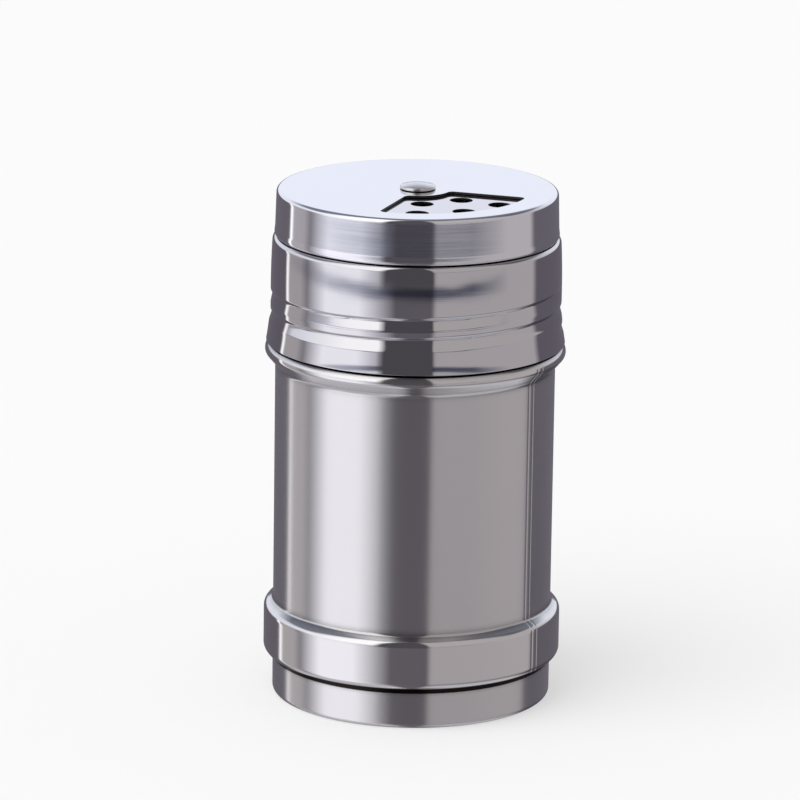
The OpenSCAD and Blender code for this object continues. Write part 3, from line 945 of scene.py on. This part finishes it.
# Buffed stretches of the tube: their roughness, how far each spills over its form, and its soft end
BUFFED_ROUGH = 0.12
BEAD_SPILL_UNDER = 0.3 * MM
BEAD_SPILL_OVER = 0.5 * MM
BEAD_SPILL_SOFT = 0.4 * MM
BAND_SPILL_UNDER = 1.0 * MM
BAND_SPILL_SOFT = 0.3 * MM

# The satin of the tube and the bottom: fine lines round the axis, which draw a reflection out into
# an upright glow
SATIN = {
    "rough": (0.2, 0.26), "stretch": 0.93, "line": 0.12 * MM, "line_depth": 0.0004 * MM, "patch": 20 * MM,
    "shut": JOINT_SHUT,
}

# A point lies on the outer face when it is less than this share of the sheet's thickness inside it. The
# band's lower bend cuts about this share of its radius off the corner
OUTER_FACE_SHARE = 0.6
CORNER_SHARE = 0.3


class SHAKER_OT_jar(bpy.types.Operator):
    """Builds the welded tube with its band, bead and neck"""

    bl_idname = "shaker.jar"
    bl_label = "Tube"

    def execute(self, context):
        settings = context.scene.shaker
        jar, lid, sheet = settings.jar, settings.lid, settings.sheet
        slope, wall, bead, shelf = jar_levels(jar)
        rim_bend = sheet.wall + sheet.tight_bend
        curl_radius = jar.wall_radius - jar.curl
        path = [
            (jar.wall_radius + jar.lip_play, jar.lip_height, 0),
            (jar.band_radius, jar.lip_height, lip_bend(jar)),
            (jar.band_radius, slope, jar.band_bend),
            (jar.wall_radius, wall, jar.band_bend / 2),
            (jar.wall_radius, bead, jar.bead_foot),
            (jar.bead_radius, bead + jar.bead_slope, jar.bead_bend),
            (jar.bead_radius, shelf, jar.bead_top_bend),
            (jar.wall_radius, shelf, sheet.tight_bend),
            (jar.wall_radius, jar.rim_height, rim_bend),
            (curl_radius, jar.rim_height, rim_bend),
            (curl_radius, jar.rim_height - jar.curl_drop, 0),
        ]
        outline = with_supports(sheet_outline(path, sheet.wall, sheet.cut_edge), SUPPORT_GAP)
        ridge = thread_height(lid) + lid.thread_lead
        outline = with_rings(outline, NECK_RING_STEP, *thread_zone(lid, ridge))
        obj = turned("jar_tube", outline, self.directions(jar), self.seam(jar, sheet))
        # Brushed stainless sheet with its bead and band buffed smooth, so that these catch sharp lights.
        # Painted shade in its gaps and a painted shadow line at the band's joint darken its colour
        polish = {"rough": BUFFED_ROUGH, "heights": [
            (bead - BEAD_SPILL_UNDER, shelf + BEAD_SPILL_OVER, BEAD_SPILL_SOFT),
            (jar.lip_height - BAND_SPILL_UNDER, wall, BAND_SPILL_SOFT),
        ]}
        material = steel(
            "stainless_satin_brushed", settings.finish.tube, polish=polish, joint=band_joint(jar), **SATIN)
        dress(obj, material)
        values = thread_values(lid, ridge, lid.thread_depth, material)
        apply_tree(obj, thread_tree(THREAD_PASSES), values)
        stand_in(obj, "jar", "jar_body")
        return {"FINISHED"}

    def directions(self, jar):
        """Directions of the columns, closer together at the weld."""
        half = (jar.seam_width / 2 + jar.seam_groove) / jar.wall_radius
        ways = []
        for a in even_directions(TUBE_COLUMNS):
            off = (a - jar.seam_direction + math.pi) % math.tau - math.pi
            if abs(off) > half:
                ways.append(a)
        for side in (-1, 1):
            for k in range(-SEAM_COLUMNS, SEAM_COLUMNS + 1):
                off = side * jar.seam_width / 2 + k / (2 * SEAM_COLUMNS) * jar.seam_groove
                ways.append(jar.seam_direction + off / jar.wall_radius)
        ways.append(jar.seam_direction)
        return sorted(ways)

    def seam(self, jar, sheet):
        """A dent that presses the grooves along the weld, into the outer face alone."""
        low = jar.lip_height + sheet.wall
        high = jar_levels(jar)[3] - sheet.wall

        def dent(a, r, z):
            across = ((a - jar.seam_direction + math.pi) % math.tau - math.pi) * jar.wall_radius
            off = abs(abs(across) - jar.seam_width / 2) / (jar.seam_groove / 2)
            outer = r > self.outer_radius(jar, z) - OUTER_FACE_SHARE * sheet.wall
            if off >= 1 or not (low < z < high and outer):
                return 0
            return -jar.seam_depth * (1 + math.cos(math.pi * off)) / 2

        return dent

    def outer_radius(self, jar, z):
        """Radius of the outer face at a height, near enough to tell it from the inner face."""
        slope, wall, bead = jar_levels(jar)[:3]
        if z < jar.lip_height + jar.band_bend:
            return jar.band_radius - jar.band_bend * CORNER_SHARE
        if z < slope:
            return jar.band_radius
        if z < wall:
            return jar.wall_radius + (jar.band_radius - jar.wall_radius) * (wall - z) / (wall - slope)
        if z < bead:
            return jar.wall_radius
        rise = min(1, (z - bead) / jar.bead_slope)
        return jar.wall_radius + (jar.bead_radius - jar.wall_radius) * rise


class SHAKER_OT_bottom(bpy.types.Operator):
    """Builds the pressed bottom with its foot and the skirt inside the band"""

    bl_idname = "shaker.bottom"
    bl_label = "Bottom"

    def execute(self, context):
        settings = context.scene.shaker
        jar, sheet = settings.jar, settings.sheet
        slope = jar_levels(jar)[0]
        tight = sheet.wall + sheet.tight_bend
        ring = jar.wall_radius - jar.foot_bend - jar.foot_ring
        ledge = jar.lip_height + sheet.wall
        skirt = jar.band_radius - sheet.wall - jar.skirt_play
        path = [
            (0, jar.foot_rise, 0),
            (ring - jar.foot_slope, jar.foot_rise, tight),
            (ring, 0, tight),
            (jar.wall_radius, 0, jar.foot_bend),
            (jar.wall_radius, ledge, sheet.tight_bend),
            (skirt, ledge, lip_bend(jar) - sheet.wall - jar.skirt_play),
            (skirt, slope - jar.skirt_drop, 0),
        ]
        outline = sheet_outline(path, sheet.wall, sheet.cut_edge)
        obj = turned("foot_cup", with_supports(outline, SUPPORT_GAP))
        # Pressed stainless sheet, brushed like the tube, so that it glows as the tube does, with painted
        # shade in its gaps and a painted shadow line at the band's joint
        dress(obj, steel("stainless_satin_pressed", settings.finish.tube, joint=band_joint(jar), **SATIN))
        stand_in(obj, "jar", "bottom_cup")
        return {"FINISHED"}


# How far a hole's punch reaches up and down, and widens over the sheet, in thicknesses of the sheet
PUNCH_REACH = 1.5

# The fine holes' rows, and the holes in the first of them
FINE_ROWS = 3
FINE_FIRST_ROW = 2


class SHAKER_OT_lid(bpy.types.Operator):
    """Builds the screw lid with its rolled thread, its turret and the perforated top"""

    bl_idname = "shaker.lid"
    bl_label = "Lid"

    def execute(self, context):
        settings = context.scene.shaker
        lid, sheet, top, pivot = settings.lid, settings.sheet, settings.top, settings.pivot
        wall_radius = lid.edge_radius - lid.flare_out
        shoulder = lid.shoulder_height
        tight = sheet.wall + sheet.tight_bend
        path = [
            (lid.edge_radius, lid.edge_height, 0),
            (lid.edge_radius - lid.lower_flare_out, lid.edge_height + lid.lower_flare, lid.flare_bend),
            (wall_radius, lid.edge_height + lid.flare, lid.flare_foot),
            (wall_radius, shoulder - lid.crown, lid.crown_bend),
            (wall_radius - lid.crown_in, shoulder, lid.shoulder_bend),
            (lid.turret_radius, shoulder, sheet.tight_bend),
            (lid.turret_radius, lid.plate_height, tight),
            (pivot.hole_radius, lid.plate_height, 0),
        ]
        outline = with_supports(sheet_outline(path, sheet.wall, sheet.cut_edge), SUPPORT_GAP)
        groove = thread_height(lid)
        outline = with_rings(outline, LID_RING_STEP, *thread_zone(lid, groove))
        obj = turned("lid_shell", outline)
        # Drawn stainless sheet, polished: it mirrors the room, a little unevenly
        material = steel(
            "stainless_polished_lid", settings.finish.lid, rough=(0.035, 0.07), stretch=0.3, line=0.3 * MM,
            line_depth=0.0008 * MM, patch=15 * MM, wave=0.03 * MM)
        dress(obj, material)
        values = thread_values(lid, groove, -lid.thread_depth, material)
        apply_tree(obj, thread_tree(THREAD_PASSES), values)
        edge = sheared_edge_and_shade()
        opposite = top.window_turn + math.pi
        punched(obj, sector_cutter("pour_punch", top, opposite, lid.plate_height, sheet.wall), edge)
        apply_tree(obj, perforation_tree(self.rows(top)), {
            "Middle": top.window_turn, "Height": lid.plate_height - top.burr,
            "Reach": PUNCH_REACH * sheet.wall, "Edge": edge})
        stand_in(obj, "lid", "shaker_lid")
        return {"FINISHED"}

    def rows(self, top):
        """Rows of holes: count, radius, spread, radius of a hole, turn from the window's middle."""
        medium, fine = top.medium_hole / 2, top.fine_hole / 2
        quarter_turn = math.pi / 2
        rows = [
            (2, top.inner_row, top.inner_spread * top.window_span, medium, 0.0),
            (3, top.outer_row, top.outer_spread * top.window_span, medium, top.outer_turn),
        ]
        for k in range(FINE_ROWS):
            radius = top.fine_row + k * top.fine_step
            rows.append((FINE_FIRST_ROW + k, radius, top.fine_spread * top.window_span, fine, quarter_turn))
        return rows


# Radius of the fold's two bends as a share of half its width, so that they meet without overlap
FOLD_SHARE = 0.995

# Height at which the cap's edge has rolled back in, in heights of its rolled part
ROLL_END = 2.2


class SHAKER_OT_cap(bpy.types.Operator):
    """Builds the turning cap with its folded edge and its window"""

    bl_idname = "shaker.cap"
    bl_label = "Cap"

    def execute(self, context):
        settings = context.scene.shaker
        top, sheet, pivot = settings.top, settings.sheet, settings.pivot
        wall = sheet.cap_wall
        hem_radius = top.radius - 2 * wall - top.fold_gap
        fold_radius = hem_radius - top.taper * top.hem / (top.top_height - top.edge_height)
        fold_bend = (top.radius - hem_radius) / 2 * FOLD_SHARE
        path = [
            (fold_radius, top.edge_height + top.hem, 0),
            (hem_radius, top.edge_height, fold_bend),
            (top.radius, top.edge_height, fold_bend),
            (top.radius, top.edge_height + top.roll, top.roll_bend),
            (top.radius - top.roll_out, top.edge_height + ROLL_END * top.roll, top.roll_bend),
            (top.radius - top.taper, top.top_height, top.top_bend),
            (pivot.hole_radius, top.top_height, 0),
        ]
        outline = sheet_outline(path, wall, sheet.cut_edge)
        obj = turned("cap_shell", with_supports(outline, SUPPORT_GAP))
        # Drawn stainless sheet, polished less finely than the lid: it mirrors the room more softly
        dress(obj, steel(
            "stainless_polished_cap", settings.finish.cap, rough=(0.06, 0.11), stretch=0.5, line=0.3 * MM,
            line_depth=0.0006 * MM, patch=15 * MM, wave=0.02 * MM))
        window = sector_cutter("window_punch", top, top.window_turn, top.top_height, wall)
        punched(obj, window, sheared_edge_and_shade())
        stand_in(obj, "cap", "rotating_cap")
        return {"FINISHED"}


# Steps round the rivet head's edge and up its dome
HEAD_EDGE_STEPS = 8
DOME_STEPS = 14


class SHAKER_OT_rivet(bpy.types.Operator):
    """Builds the domed rivet that the cap turns on"""

    bl_idname = "shaker.rivet"
    bl_label = "Rivet"

    def execute(self, context):
        settings = context.scene.shaker
        outline = self.tail(settings.pivot) + self.head(settings.pivot)
        obj = turned("domed_rivet", with_supports(outline, RIVET_GAP), even_directions(SMALL_COLUMNS))
        # Stainless wire, headed and lightly tumbled: duller than the cap, so that it stands out from it
        dress(obj, steel(
            "stainless_rivet_wire", settings.finish.rivet, rough=(0.26, 0.34), stretch=0.1, line=0.2 * MM,
            line_depth=0.0006 * MM, patch=3 * MM))
        stand_in(obj, "pivot", "rivet")
        return {"FINISHED"}

    def tail(self, pivot):
        """Outline of the upset tail and the shank, up to the head."""
        low, high = pivot.tail_bottom, pivot.tail_bottom + pivot.tail
        end_radius = (pivot.shank_radius + pivot.tail_radius) / 2
        return [
            (0, low),
            (end_radius - pivot.edge, low),
            (end_radius, low + pivot.edge),
            (pivot.tail_radius, high - pivot.edge),
            (pivot.tail_radius - pivot.edge, high),
            (pivot.shank_radius, high),
            (pivot.shank_radius, pivot.head_top - pivot.head),
        ]

    def head(self, pivot):
        """Outline of the head: its flat underside, its round edge and its dome."""
        base = pivot.head_top - pivot.head
        edge = pivot.head_edge
        dome_radius = (pivot.head_radius ** 2 + pivot.dome ** 2) / (2 * pivot.dome)
        centre = pivot.head_top - dome_radius
        inner = dome_radius - edge
        shoulder = math.asin((pivot.head_radius - edge) / inner)
        corner = (inner * math.sin(shoulder), centre + inner * math.cos(shoulder))
        outline = [(pivot.head_radius - edge / 2, base), (pivot.head_radius, base + edge / 2)]
        quarter = math.pi / 2
        for k in range(HEAD_EDGE_STEPS + 1):
            a = quarter + (shoulder - quarter) * k / HEAD_EDGE_STEPS
            outline.append((corner[0] + edge * math.sin(a), corner[1] + edge * math.cos(a)))
        for k in range(1, DOME_STEPS):
            a = shoulder * (1 - k / DOME_STEPS)
            outline.append((dome_radius * math.sin(a), centre + dome_radius * math.cos(a)))
        return outline + [(0, pivot.head_top)]


class SHAKER_OT_washers(bpy.types.Operator):
    """Builds the spring washer and the flat washer under the perforated top"""

    bl_idname = "shaker.washers"
    bl_label = "Washers"

    def execute(self, context):
        settings = context.scene.shaker
        pivot = settings.pivot
        # Spring steel strip as rolled: dull, with soft patches
        material = steel(
            "spring_steel_rolled", settings.finish.inner, rough=(0.28, 0.4), stretch=0.3, line=0.2 * MM,
            line_depth=0.001 * MM, patch=4 * MM)
        low, high = pivot.spring_low, pivot.spring_low + pivot.spring_wall
        ring = self.ring(pivot, pivot.spring_radius, low, pivot.spring_wall)
        ring = with_rings(ring, SPRING_RING_STEP, low, high)
        spring = turned("spring_ring", ring, even_directions(SPRING_COLUMNS))
        dress(spring, material)
        swing = (pivot.spring_rise - pivot.spring_wall) / 2
        apply_tree(spring, wave_tree(), {"Waves": pivot.spring_waves, "Swing": swing, "Material": material})
        stand_in(spring, "pivot", "wave_washer")
        thick = pivot.washer_high - pivot.washer_low
        flat = self.ring(pivot, pivot.washer_radius, pivot.washer_low, thick)
        washer = turned("flat_washer", flat, even_directions(SMALL_COLUMNS))
        # Stamped stainless washer: dull, with soft patches
        dress(washer, steel(
            "washer_steel_stamped", settings.finish.inner, rough=(0.3, 0.42), stretch=0.2, line=0.2 * MM,
            line_depth=0.001 * MM, patch=4 * MM))
        stand_in(washer, "pivot", "clinch_washer")
        return {"FINISHED"}

    def ring(self, pivot, outer, low, thick):
        """Outline of a flat ring round the shank, with chamfered edges."""
        inner = pivot.hole_radius
        high = low + thick
        edge = min(pivot.edge, thick / 3)
        return [
            (inner + edge, low), (outer - edge, low), (outer, low + edge), (outer, high - edge),
            (outer - edge, high), (inner + edge, high), (inner, high - edge), (inner, low + edge),
        ]


# The camera: its sensor's width in millimetres, and the nearest distance that it sees
SENSOR_WIDTH = 36
CLIP_START = 0.05

# The floor: half its length, and the share of plain white that the camera sees in it
FLOOR_HALF = 6.0
FLOOR_GLOW = 0.45

# The soft key light from the upper left: its strength, its width and its tilts to the front and left
KEY_STRENGTH = 1.3
KEY_WIDTH = math.radians(50)
KEY_TILT = (math.radians(20), math.radians(-25), 0)

# Strength of the studio that polished steel mirrors, of the soft light on all else, and of the
# backdrop that the camera sees
MIRRORED_STRENGTH = 1.55
SOFT_STRENGTH = 0.62
BACKDROP_STRENGTH = 1.0

# The studio near the horizon, as directions on the shaker's wall from the front towards the right,
# in degrees: a strip light and a grey screen on the left, a large softbox, a dark flag beside the
# camera, a grey wall on the right, and the dark room beyond. A wall mirrors what lies at twice its
# own direction
BANDS = [
    (-90, "#5C5860"), (-63, "#5C5860"), (-62, "#FFFFFF"), (-61, "#FFFFFF"), (-60, "#A09C9E"),
    (-52, "#A09C9E"), (-48, "#7C7A80"), (-38, "#EEEEF4"), (-23, "#EEEEF4"), (-8, "#5E5A60"),
    (6, "#5E5A60"), (8, "#A6A2A4"), (52, "#A6A2A4"), (55, "#5C5860"), (90, "#5C5860"),
]

# The studio overhead, as shares of a turn that starts behind: pale blue behind, a white softbox on
# the left and a grey wall on the right
OVERHEAD = [
    (0.0, "#D5D9E3"), (0.2, "#D5D9E3"), (0.34, "#FFFFFF"), (0.5, "#FFFFFF"), (0.54, "#A8A4A4"),
    (0.8, "#A8A4A4"), (0.9, "#D5D9E3"), (1.0, "#D5D9E3"),
]

# Where the overhead part takes over, in degrees above the horizon
OVERHEAD_FROM = (3.5, 5.5)

# The grey ceiling: directions from the front past which it lies behind, and its heights in degrees
# there and straight above
CEILING = "#84868C"
CEILING_BEHIND = (80, 100)
CEILING_HEIGHT = (26, 36)
ZENITH_HEIGHT = (70, 80)

# The pale table: its colour, its edge and the part left out straight below as heights in degrees, and
# the directions in degrees between which it fades in on its near and far side
TABLE = "#B0B0B5"
TABLE_EDGE = (-36, -46)
TABLE_LOWEST = (-82, -75)
TABLE_SIDES = ((10, 26), (168, 150))

# The dimmer lower part of the grey wall on the right: its directions and heights in degrees
LOW_WALL = "#BEBEC0"
LOW_WALL_SIDE = (6, 16)
LOW_WALL_HEIGHT = (-18, -25)

# Two dim bluish stripes across the room: colour, lowest and highest angle of each, its soft edge, and
# the directions between which they fade out on the left and the right, all in degrees
STRIPE = "#687288"
STRIPES = ((-11.6, -8.7), (0.6, 4.4))
STRIPE_SOFT = 1.2
STRIPE_ENDS = ((-130, -20), (78, 45))

# The tall dark flag in front: its left and right edges and its lower and upper edges, in degrees
FLAG = "#4A474C"
FLAG_LEFT = (-30, -24)
FLAG_RIGHT = (14.5, 12.5)
FLAG_FOOT = (-10, -8.6)
FLAG_TOP = (92, 88)


class SHAKER_OT_stage(bpy.types.Operator):
    """Builds the floor, the light and the camera"""

    bl_idname = "shaker.stage"
    bl_label = "Stage"

    def execute(self, context):
        look = context.scene.shaker.stage
        self.floor(look)
        self.key_light()
        self.studio(look)
        self.camera(look)
        context.scene.view_settings.view_transform = "Standard"
        return {"FINISHED"}

    def floor(self, look):
        """A plain pale floor that keeps the shadow."""
        low, high = -FLOOR_HALF, FLOOR_HALF
        mesh = bpy.data.meshes.new("floor")
        mesh.from_pydata([(low, low, 0), (high, low, 0), (high, high, 0), (low, high, 0)], [], [(0, 1, 2, 3)])
        floor = bpy.data.objects.new("floor", mesh)
        bpy.context.scene.collection.objects.link(floor)
        # Matt white paper: the camera sees some of its own white in it, so that it meets the backdrop
        material, tree = new_material("floor_white_paper")
        paper = add_node(tree, "ShaderNodeBsdfDiffuse", {"Color": (*look.floor, 1.0)})
        glow = add_node(tree, "ShaderNodeEmission", {"Color": (1, 1, 1, 1), "Strength": 1.0})
        ray = add_node(tree, "ShaderNodeLightPath")
        part = add_node(
            tree, "ShaderNodeMath", {0: ray.outputs["Is Camera Ray"], 1: FLOOR_GLOW}, operation="MULTIPLY")
        both = add_node(
            tree, "ShaderNodeMixShader", {0: part.outputs[0], 1: paper.outputs[0], 2: glow.outputs[0]})
        add_node(tree, "ShaderNodeOutputMaterial", {"Surface": both.outputs[0]})
        mesh.materials.append(material)
        floor.visible_glossy = False

    def key_light(self):
        """A large soft key light from the upper left, which the steel doesn't mirror."""
        lamp = bpy.data.lights.new("key", "SUN")
        lamp.energy = KEY_STRENGTH
        lamp.angle = KEY_WIDTH
        key = bpy.data.objects.new("key", lamp)
        key.rotation_euler = KEY_TILT
        key.visible_glossy = False
        bpy.context.scene.collection.objects.link(key)

    def studio(self, look):
        """The room: white to the camera, soft light on the floor, and softboxes and flags in the steel."""
        world = bpy.data.worlds.new("studio")
        bpy.context.scene.world = world
        world.use_nodes = True
        tree = world.node_tree
        tree.nodes.clear()
        way = add_node(tree, "ShaderNodeTexCoord")
        axis = add_node(tree, "ShaderNodeSeparateXYZ", {0: way.outputs["Generated"]})
        front = add_node(tree, "ShaderNodeMath", {0: axis.outputs[1], 1: -1.0}, operation="MULTIPLY")
        turn = add_node(
            tree, "ShaderNodeMath", {0: axis.outputs[0], 1: front.outputs[0]}, operation="ARCTAN2")
        side = add_node(tree, "ShaderNodeMath", {0: turn.outputs[0]}, operation="DEGREES").outputs[0]
        away = add_node(tree, "ShaderNodeMath", {0: side}, operation="ABSOLUTE").outputs[0]
        rise = add_node(tree, "ShaderNodeMath", {0: axis.outputs[2]}, operation="ARCSINE")
        height = add_node(tree, "ShaderNodeMath", {0: rise.outputs[0]}, operation="DEGREES").outputs[0]
        level = self.around(tree, side, [(0.5 + a / 180, code) for a, code in BANDS])
        level = self.horizon(tree, side, height, level)
        overhead = self.around(tree, side, OVERHEAD)
        up = self.inside(tree, [(height, OVERHEAD_FROM)])
        room = add_node(tree, "ShaderNodeMix", {0: up, 6: level, 7: overhead}, data_type="RGBA").outputs[2]
        room = self.ceiling(tree, away, height, room)
        room = self.table(tree, away, height, room)
        room = self.flag(tree, side, height, room)
        mirrored = add_node(tree, "ShaderNodeBackground", {"Color": room, "Strength": MIRRORED_STRENGTH})
        soft = add_node(tree, "ShaderNodeBackground", {"Color": (1, 1, 1, 1), "Strength": SOFT_STRENGTH})
        white = add_node(
            tree, "ShaderNodeBackground", {"Color": (*look.floor, 1.0), "Strength": BACKDROP_STRENGTH})
        ray = add_node(tree, "ShaderNodeLightPath")
        lit = add_node(tree, "ShaderNodeMixShader", {
            0: ray.outputs["Is Glossy Ray"], 1: soft.outputs[0], 2: mirrored.outputs[0]})
        seen = add_node(tree, "ShaderNodeMixShader", {
            0: ray.outputs["Is Camera Ray"], 1: lit.outputs[0], 2: white.outputs[0]})
        add_node(tree, "ShaderNodeOutputWorld", {"Surface": seen.outputs[0]})

    def around(self, tree, side, stops):
        """Colours round the room, from places as shares of a turn that starts behind, and hex codes."""
        part = add_node(tree, "ShaderNodeMapRange", {"Value": side, "From Min": -180.0, "From Max": 180.0})
        ramp = add_node(tree, "ShaderNodeValToRGB", {0: part.outputs[0]})
        elements = ramp.color_ramp.elements
        while len(elements) > 1:
            elements.remove(elements[-1])
        elements[0].position = stops[0][0]
        elements[0].color = (*linear(stops[0][1]), 1)
        for place, code in stops[1:]:
            elements.new(place).color = (*linear(code), 1)
        return ramp.outputs[0]

    def inside(self, tree, reaches, curve="LINEAR"):
        """How far a direction lies inside all of the reaches, from 0 to 1.

        A reach is an angle in degrees with the two values between which it goes from outside to inside.
        """
        whole = None
        for angle_socket, (outer, inner) in reaches:
            part = add_node(tree, "ShaderNodeMapRange", {
                "Value": angle_socket, "From Min": float(outer), "From Max": float(inner),
            }, interpolation_type=curve).outputs[0]
            if whole is not None:
                part = add_node(tree, "ShaderNodeMath", {0: part, 1: whole}, operation="MULTIPLY").outputs[0]
            whole = part
        return whole

    def horizon(self, tree, side, height, room):
        """The lower part of the grey wall, and two dim stripes below and above the horizon."""
        low_wall = self.inside(tree, [(side, LOW_WALL_SIDE), (height, LOW_WALL_HEIGHT)])
        room = add_node(tree, "ShaderNodeMix", {
            0: low_wall, 6: room, 7: (*linear(LOW_WALL), 1),
        }, data_type="RGBA", blend_type="MULTIPLY").outputs[2]
        ends = self.inside(tree, [(side, reach) for reach in STRIPE_ENDS])
        for low, high in STRIPES:
            edges = [(height, (low, low + STRIPE_SOFT)), (height, (high, high - STRIPE_SOFT))]
            across = self.inside(tree, edges, "SMOOTHSTEP")
            stripe = add_node(tree, "ShaderNodeMath", {0: across, 1: ends}, operation="MULTIPLY").outputs[0]
            room = add_node(tree, "ShaderNodeMix", {
                0: stripe, 6: room, 7: (*linear(STRIPE), 1),
            }, data_type="RGBA", blend_type="MULTIPLY").outputs[2]
        return room

    def ceiling(self, tree, away, height, room):
        """The grey ceiling, behind the shaker and straight above it."""
        behind = self.inside(tree, [(away, CEILING_BEHIND), (height, CEILING_HEIGHT)])
        zenith = self.inside(tree, [(height, ZENITH_HEIGHT)])
        grey = add_node(tree, "ShaderNodeMath", {0: behind, 1: zenith}, operation="MAXIMUM").outputs[0]
        mixed = add_node(tree, "ShaderNodeMix", {
            0: grey, 6: room, 7: (*linear(CEILING), 1)}, data_type="RGBA", blend_type="MULTIPLY")
        return mixed.outputs[2]

    def table(self, tree, away, height, room):
        """The pale table below, on the left and the right of the shaker."""
        reaches = [(height, TABLE_EDGE), (height, TABLE_LOWEST)] + [(away, side) for side in TABLE_SIDES]
        pale = self.inside(tree, reaches)
        mixed = add_node(tree, "ShaderNodeMix", {0: pale, 6: room, 7: (*linear(TABLE), 1)}, data_type="RGBA")
        return mixed.outputs[2]

    def flag(self, tree, side, height, room):
        """A tall dark flag in front, beside the camera."""
        dark = self.inside(tree, [
            (side, FLAG_LEFT), (side, FLAG_RIGHT), (height, FLAG_TOP), (height, FLAG_FOOT)])
        mixed = add_node(tree, "ShaderNodeMix", {0: dark, 6: room, 7: (*linear(FLAG), 1)}, data_type="RGBA")
        return mixed.outputs[2]

    def camera(self, look):
        """The camera, in front of the shaker and a little above it."""
        lens = bpy.data.cameras.new("view")
        lens.lens = look.lens
        lens.sensor_width = SENSOR_WIDTH
        lens.shift_x = look.shift_x
        lens.shift_y = look.shift_y
        lens.clip_start = CLIP_START
        camera = bpy.data.objects.new("view", lens)
        bpy.context.scene.collection.objects.link(camera)
        back = Vector((0, -math.cos(look.elevation), math.sin(look.elevation)))
        camera.location = Vector((0, 0, look.aim_height)) + back * look.distance
        camera.rotation_mode = "QUATERNION"
        aimed = (-back).to_track_quat("-Z", "Y")
        camera.rotation_quaternion = aimed @ Quaternion((0, 0, 1), look.roll)
        bpy.context.scene.camera = camera


class SHAKER_PT_panel(bpy.types.Panel):
    """Lists the settings and the pieces"""

    bl_idname = "SHAKER_PT_panel"
    bl_label = "Spice shaker"
    bl_space_type = "VIEW_3D"
    bl_region_type = "UI"
    bl_category = "Shaker"

    def draw(self, context):
        settings = context.scene.shaker
        for group in ("sheet", "jar", "lid", "top", "pivot", "finish", "stage"):
            box = self.layout.box()
            box.label(text=group.capitalize())
            values = getattr(settings, group)
            for key in values.__annotations__:
                box.prop(values, key)
        for operator in OPERATORS:
            self.layout.operator(operator.bl_idname)


GROUPS = (SheetSizes, JarSizes, LidSizes, TopSizes, PivotSizes, Finish, StageLook, ShakerSettings)
OPERATORS = (
    SHAKER_OT_stage, SHAKER_OT_jar, SHAKER_OT_bottom, SHAKER_OT_lid, SHAKER_OT_cap, SHAKER_OT_rivet,
    SHAKER_OT_washers,
)


def register():
    for cls in (*GROUPS, *OPERATORS, SHAKER_PT_panel):
        bpy.utils.register_class(cls)
    bpy.types.Scene.shaker = bpy.props.PointerProperty(type=ShakerSettings)


def unregister():
    del bpy.types.Scene.shaker
    for cls in reversed((*GROUPS, *OPERATORS, SHAKER_PT_panel)):
        bpy.utils.unregister_class(cls)


def main():
    register()
    bpy.ops.shaker.stage()
    bpy.ops.shaker.jar()
    bpy.ops.shaker.bottom()
    bpy.ops.shaker.lid()
    bpy.ops.shaker.cap()
    bpy.ops.shaker.rivet()
    bpy.ops.shaker.washers()


if __name__ == "__main__":
    main()
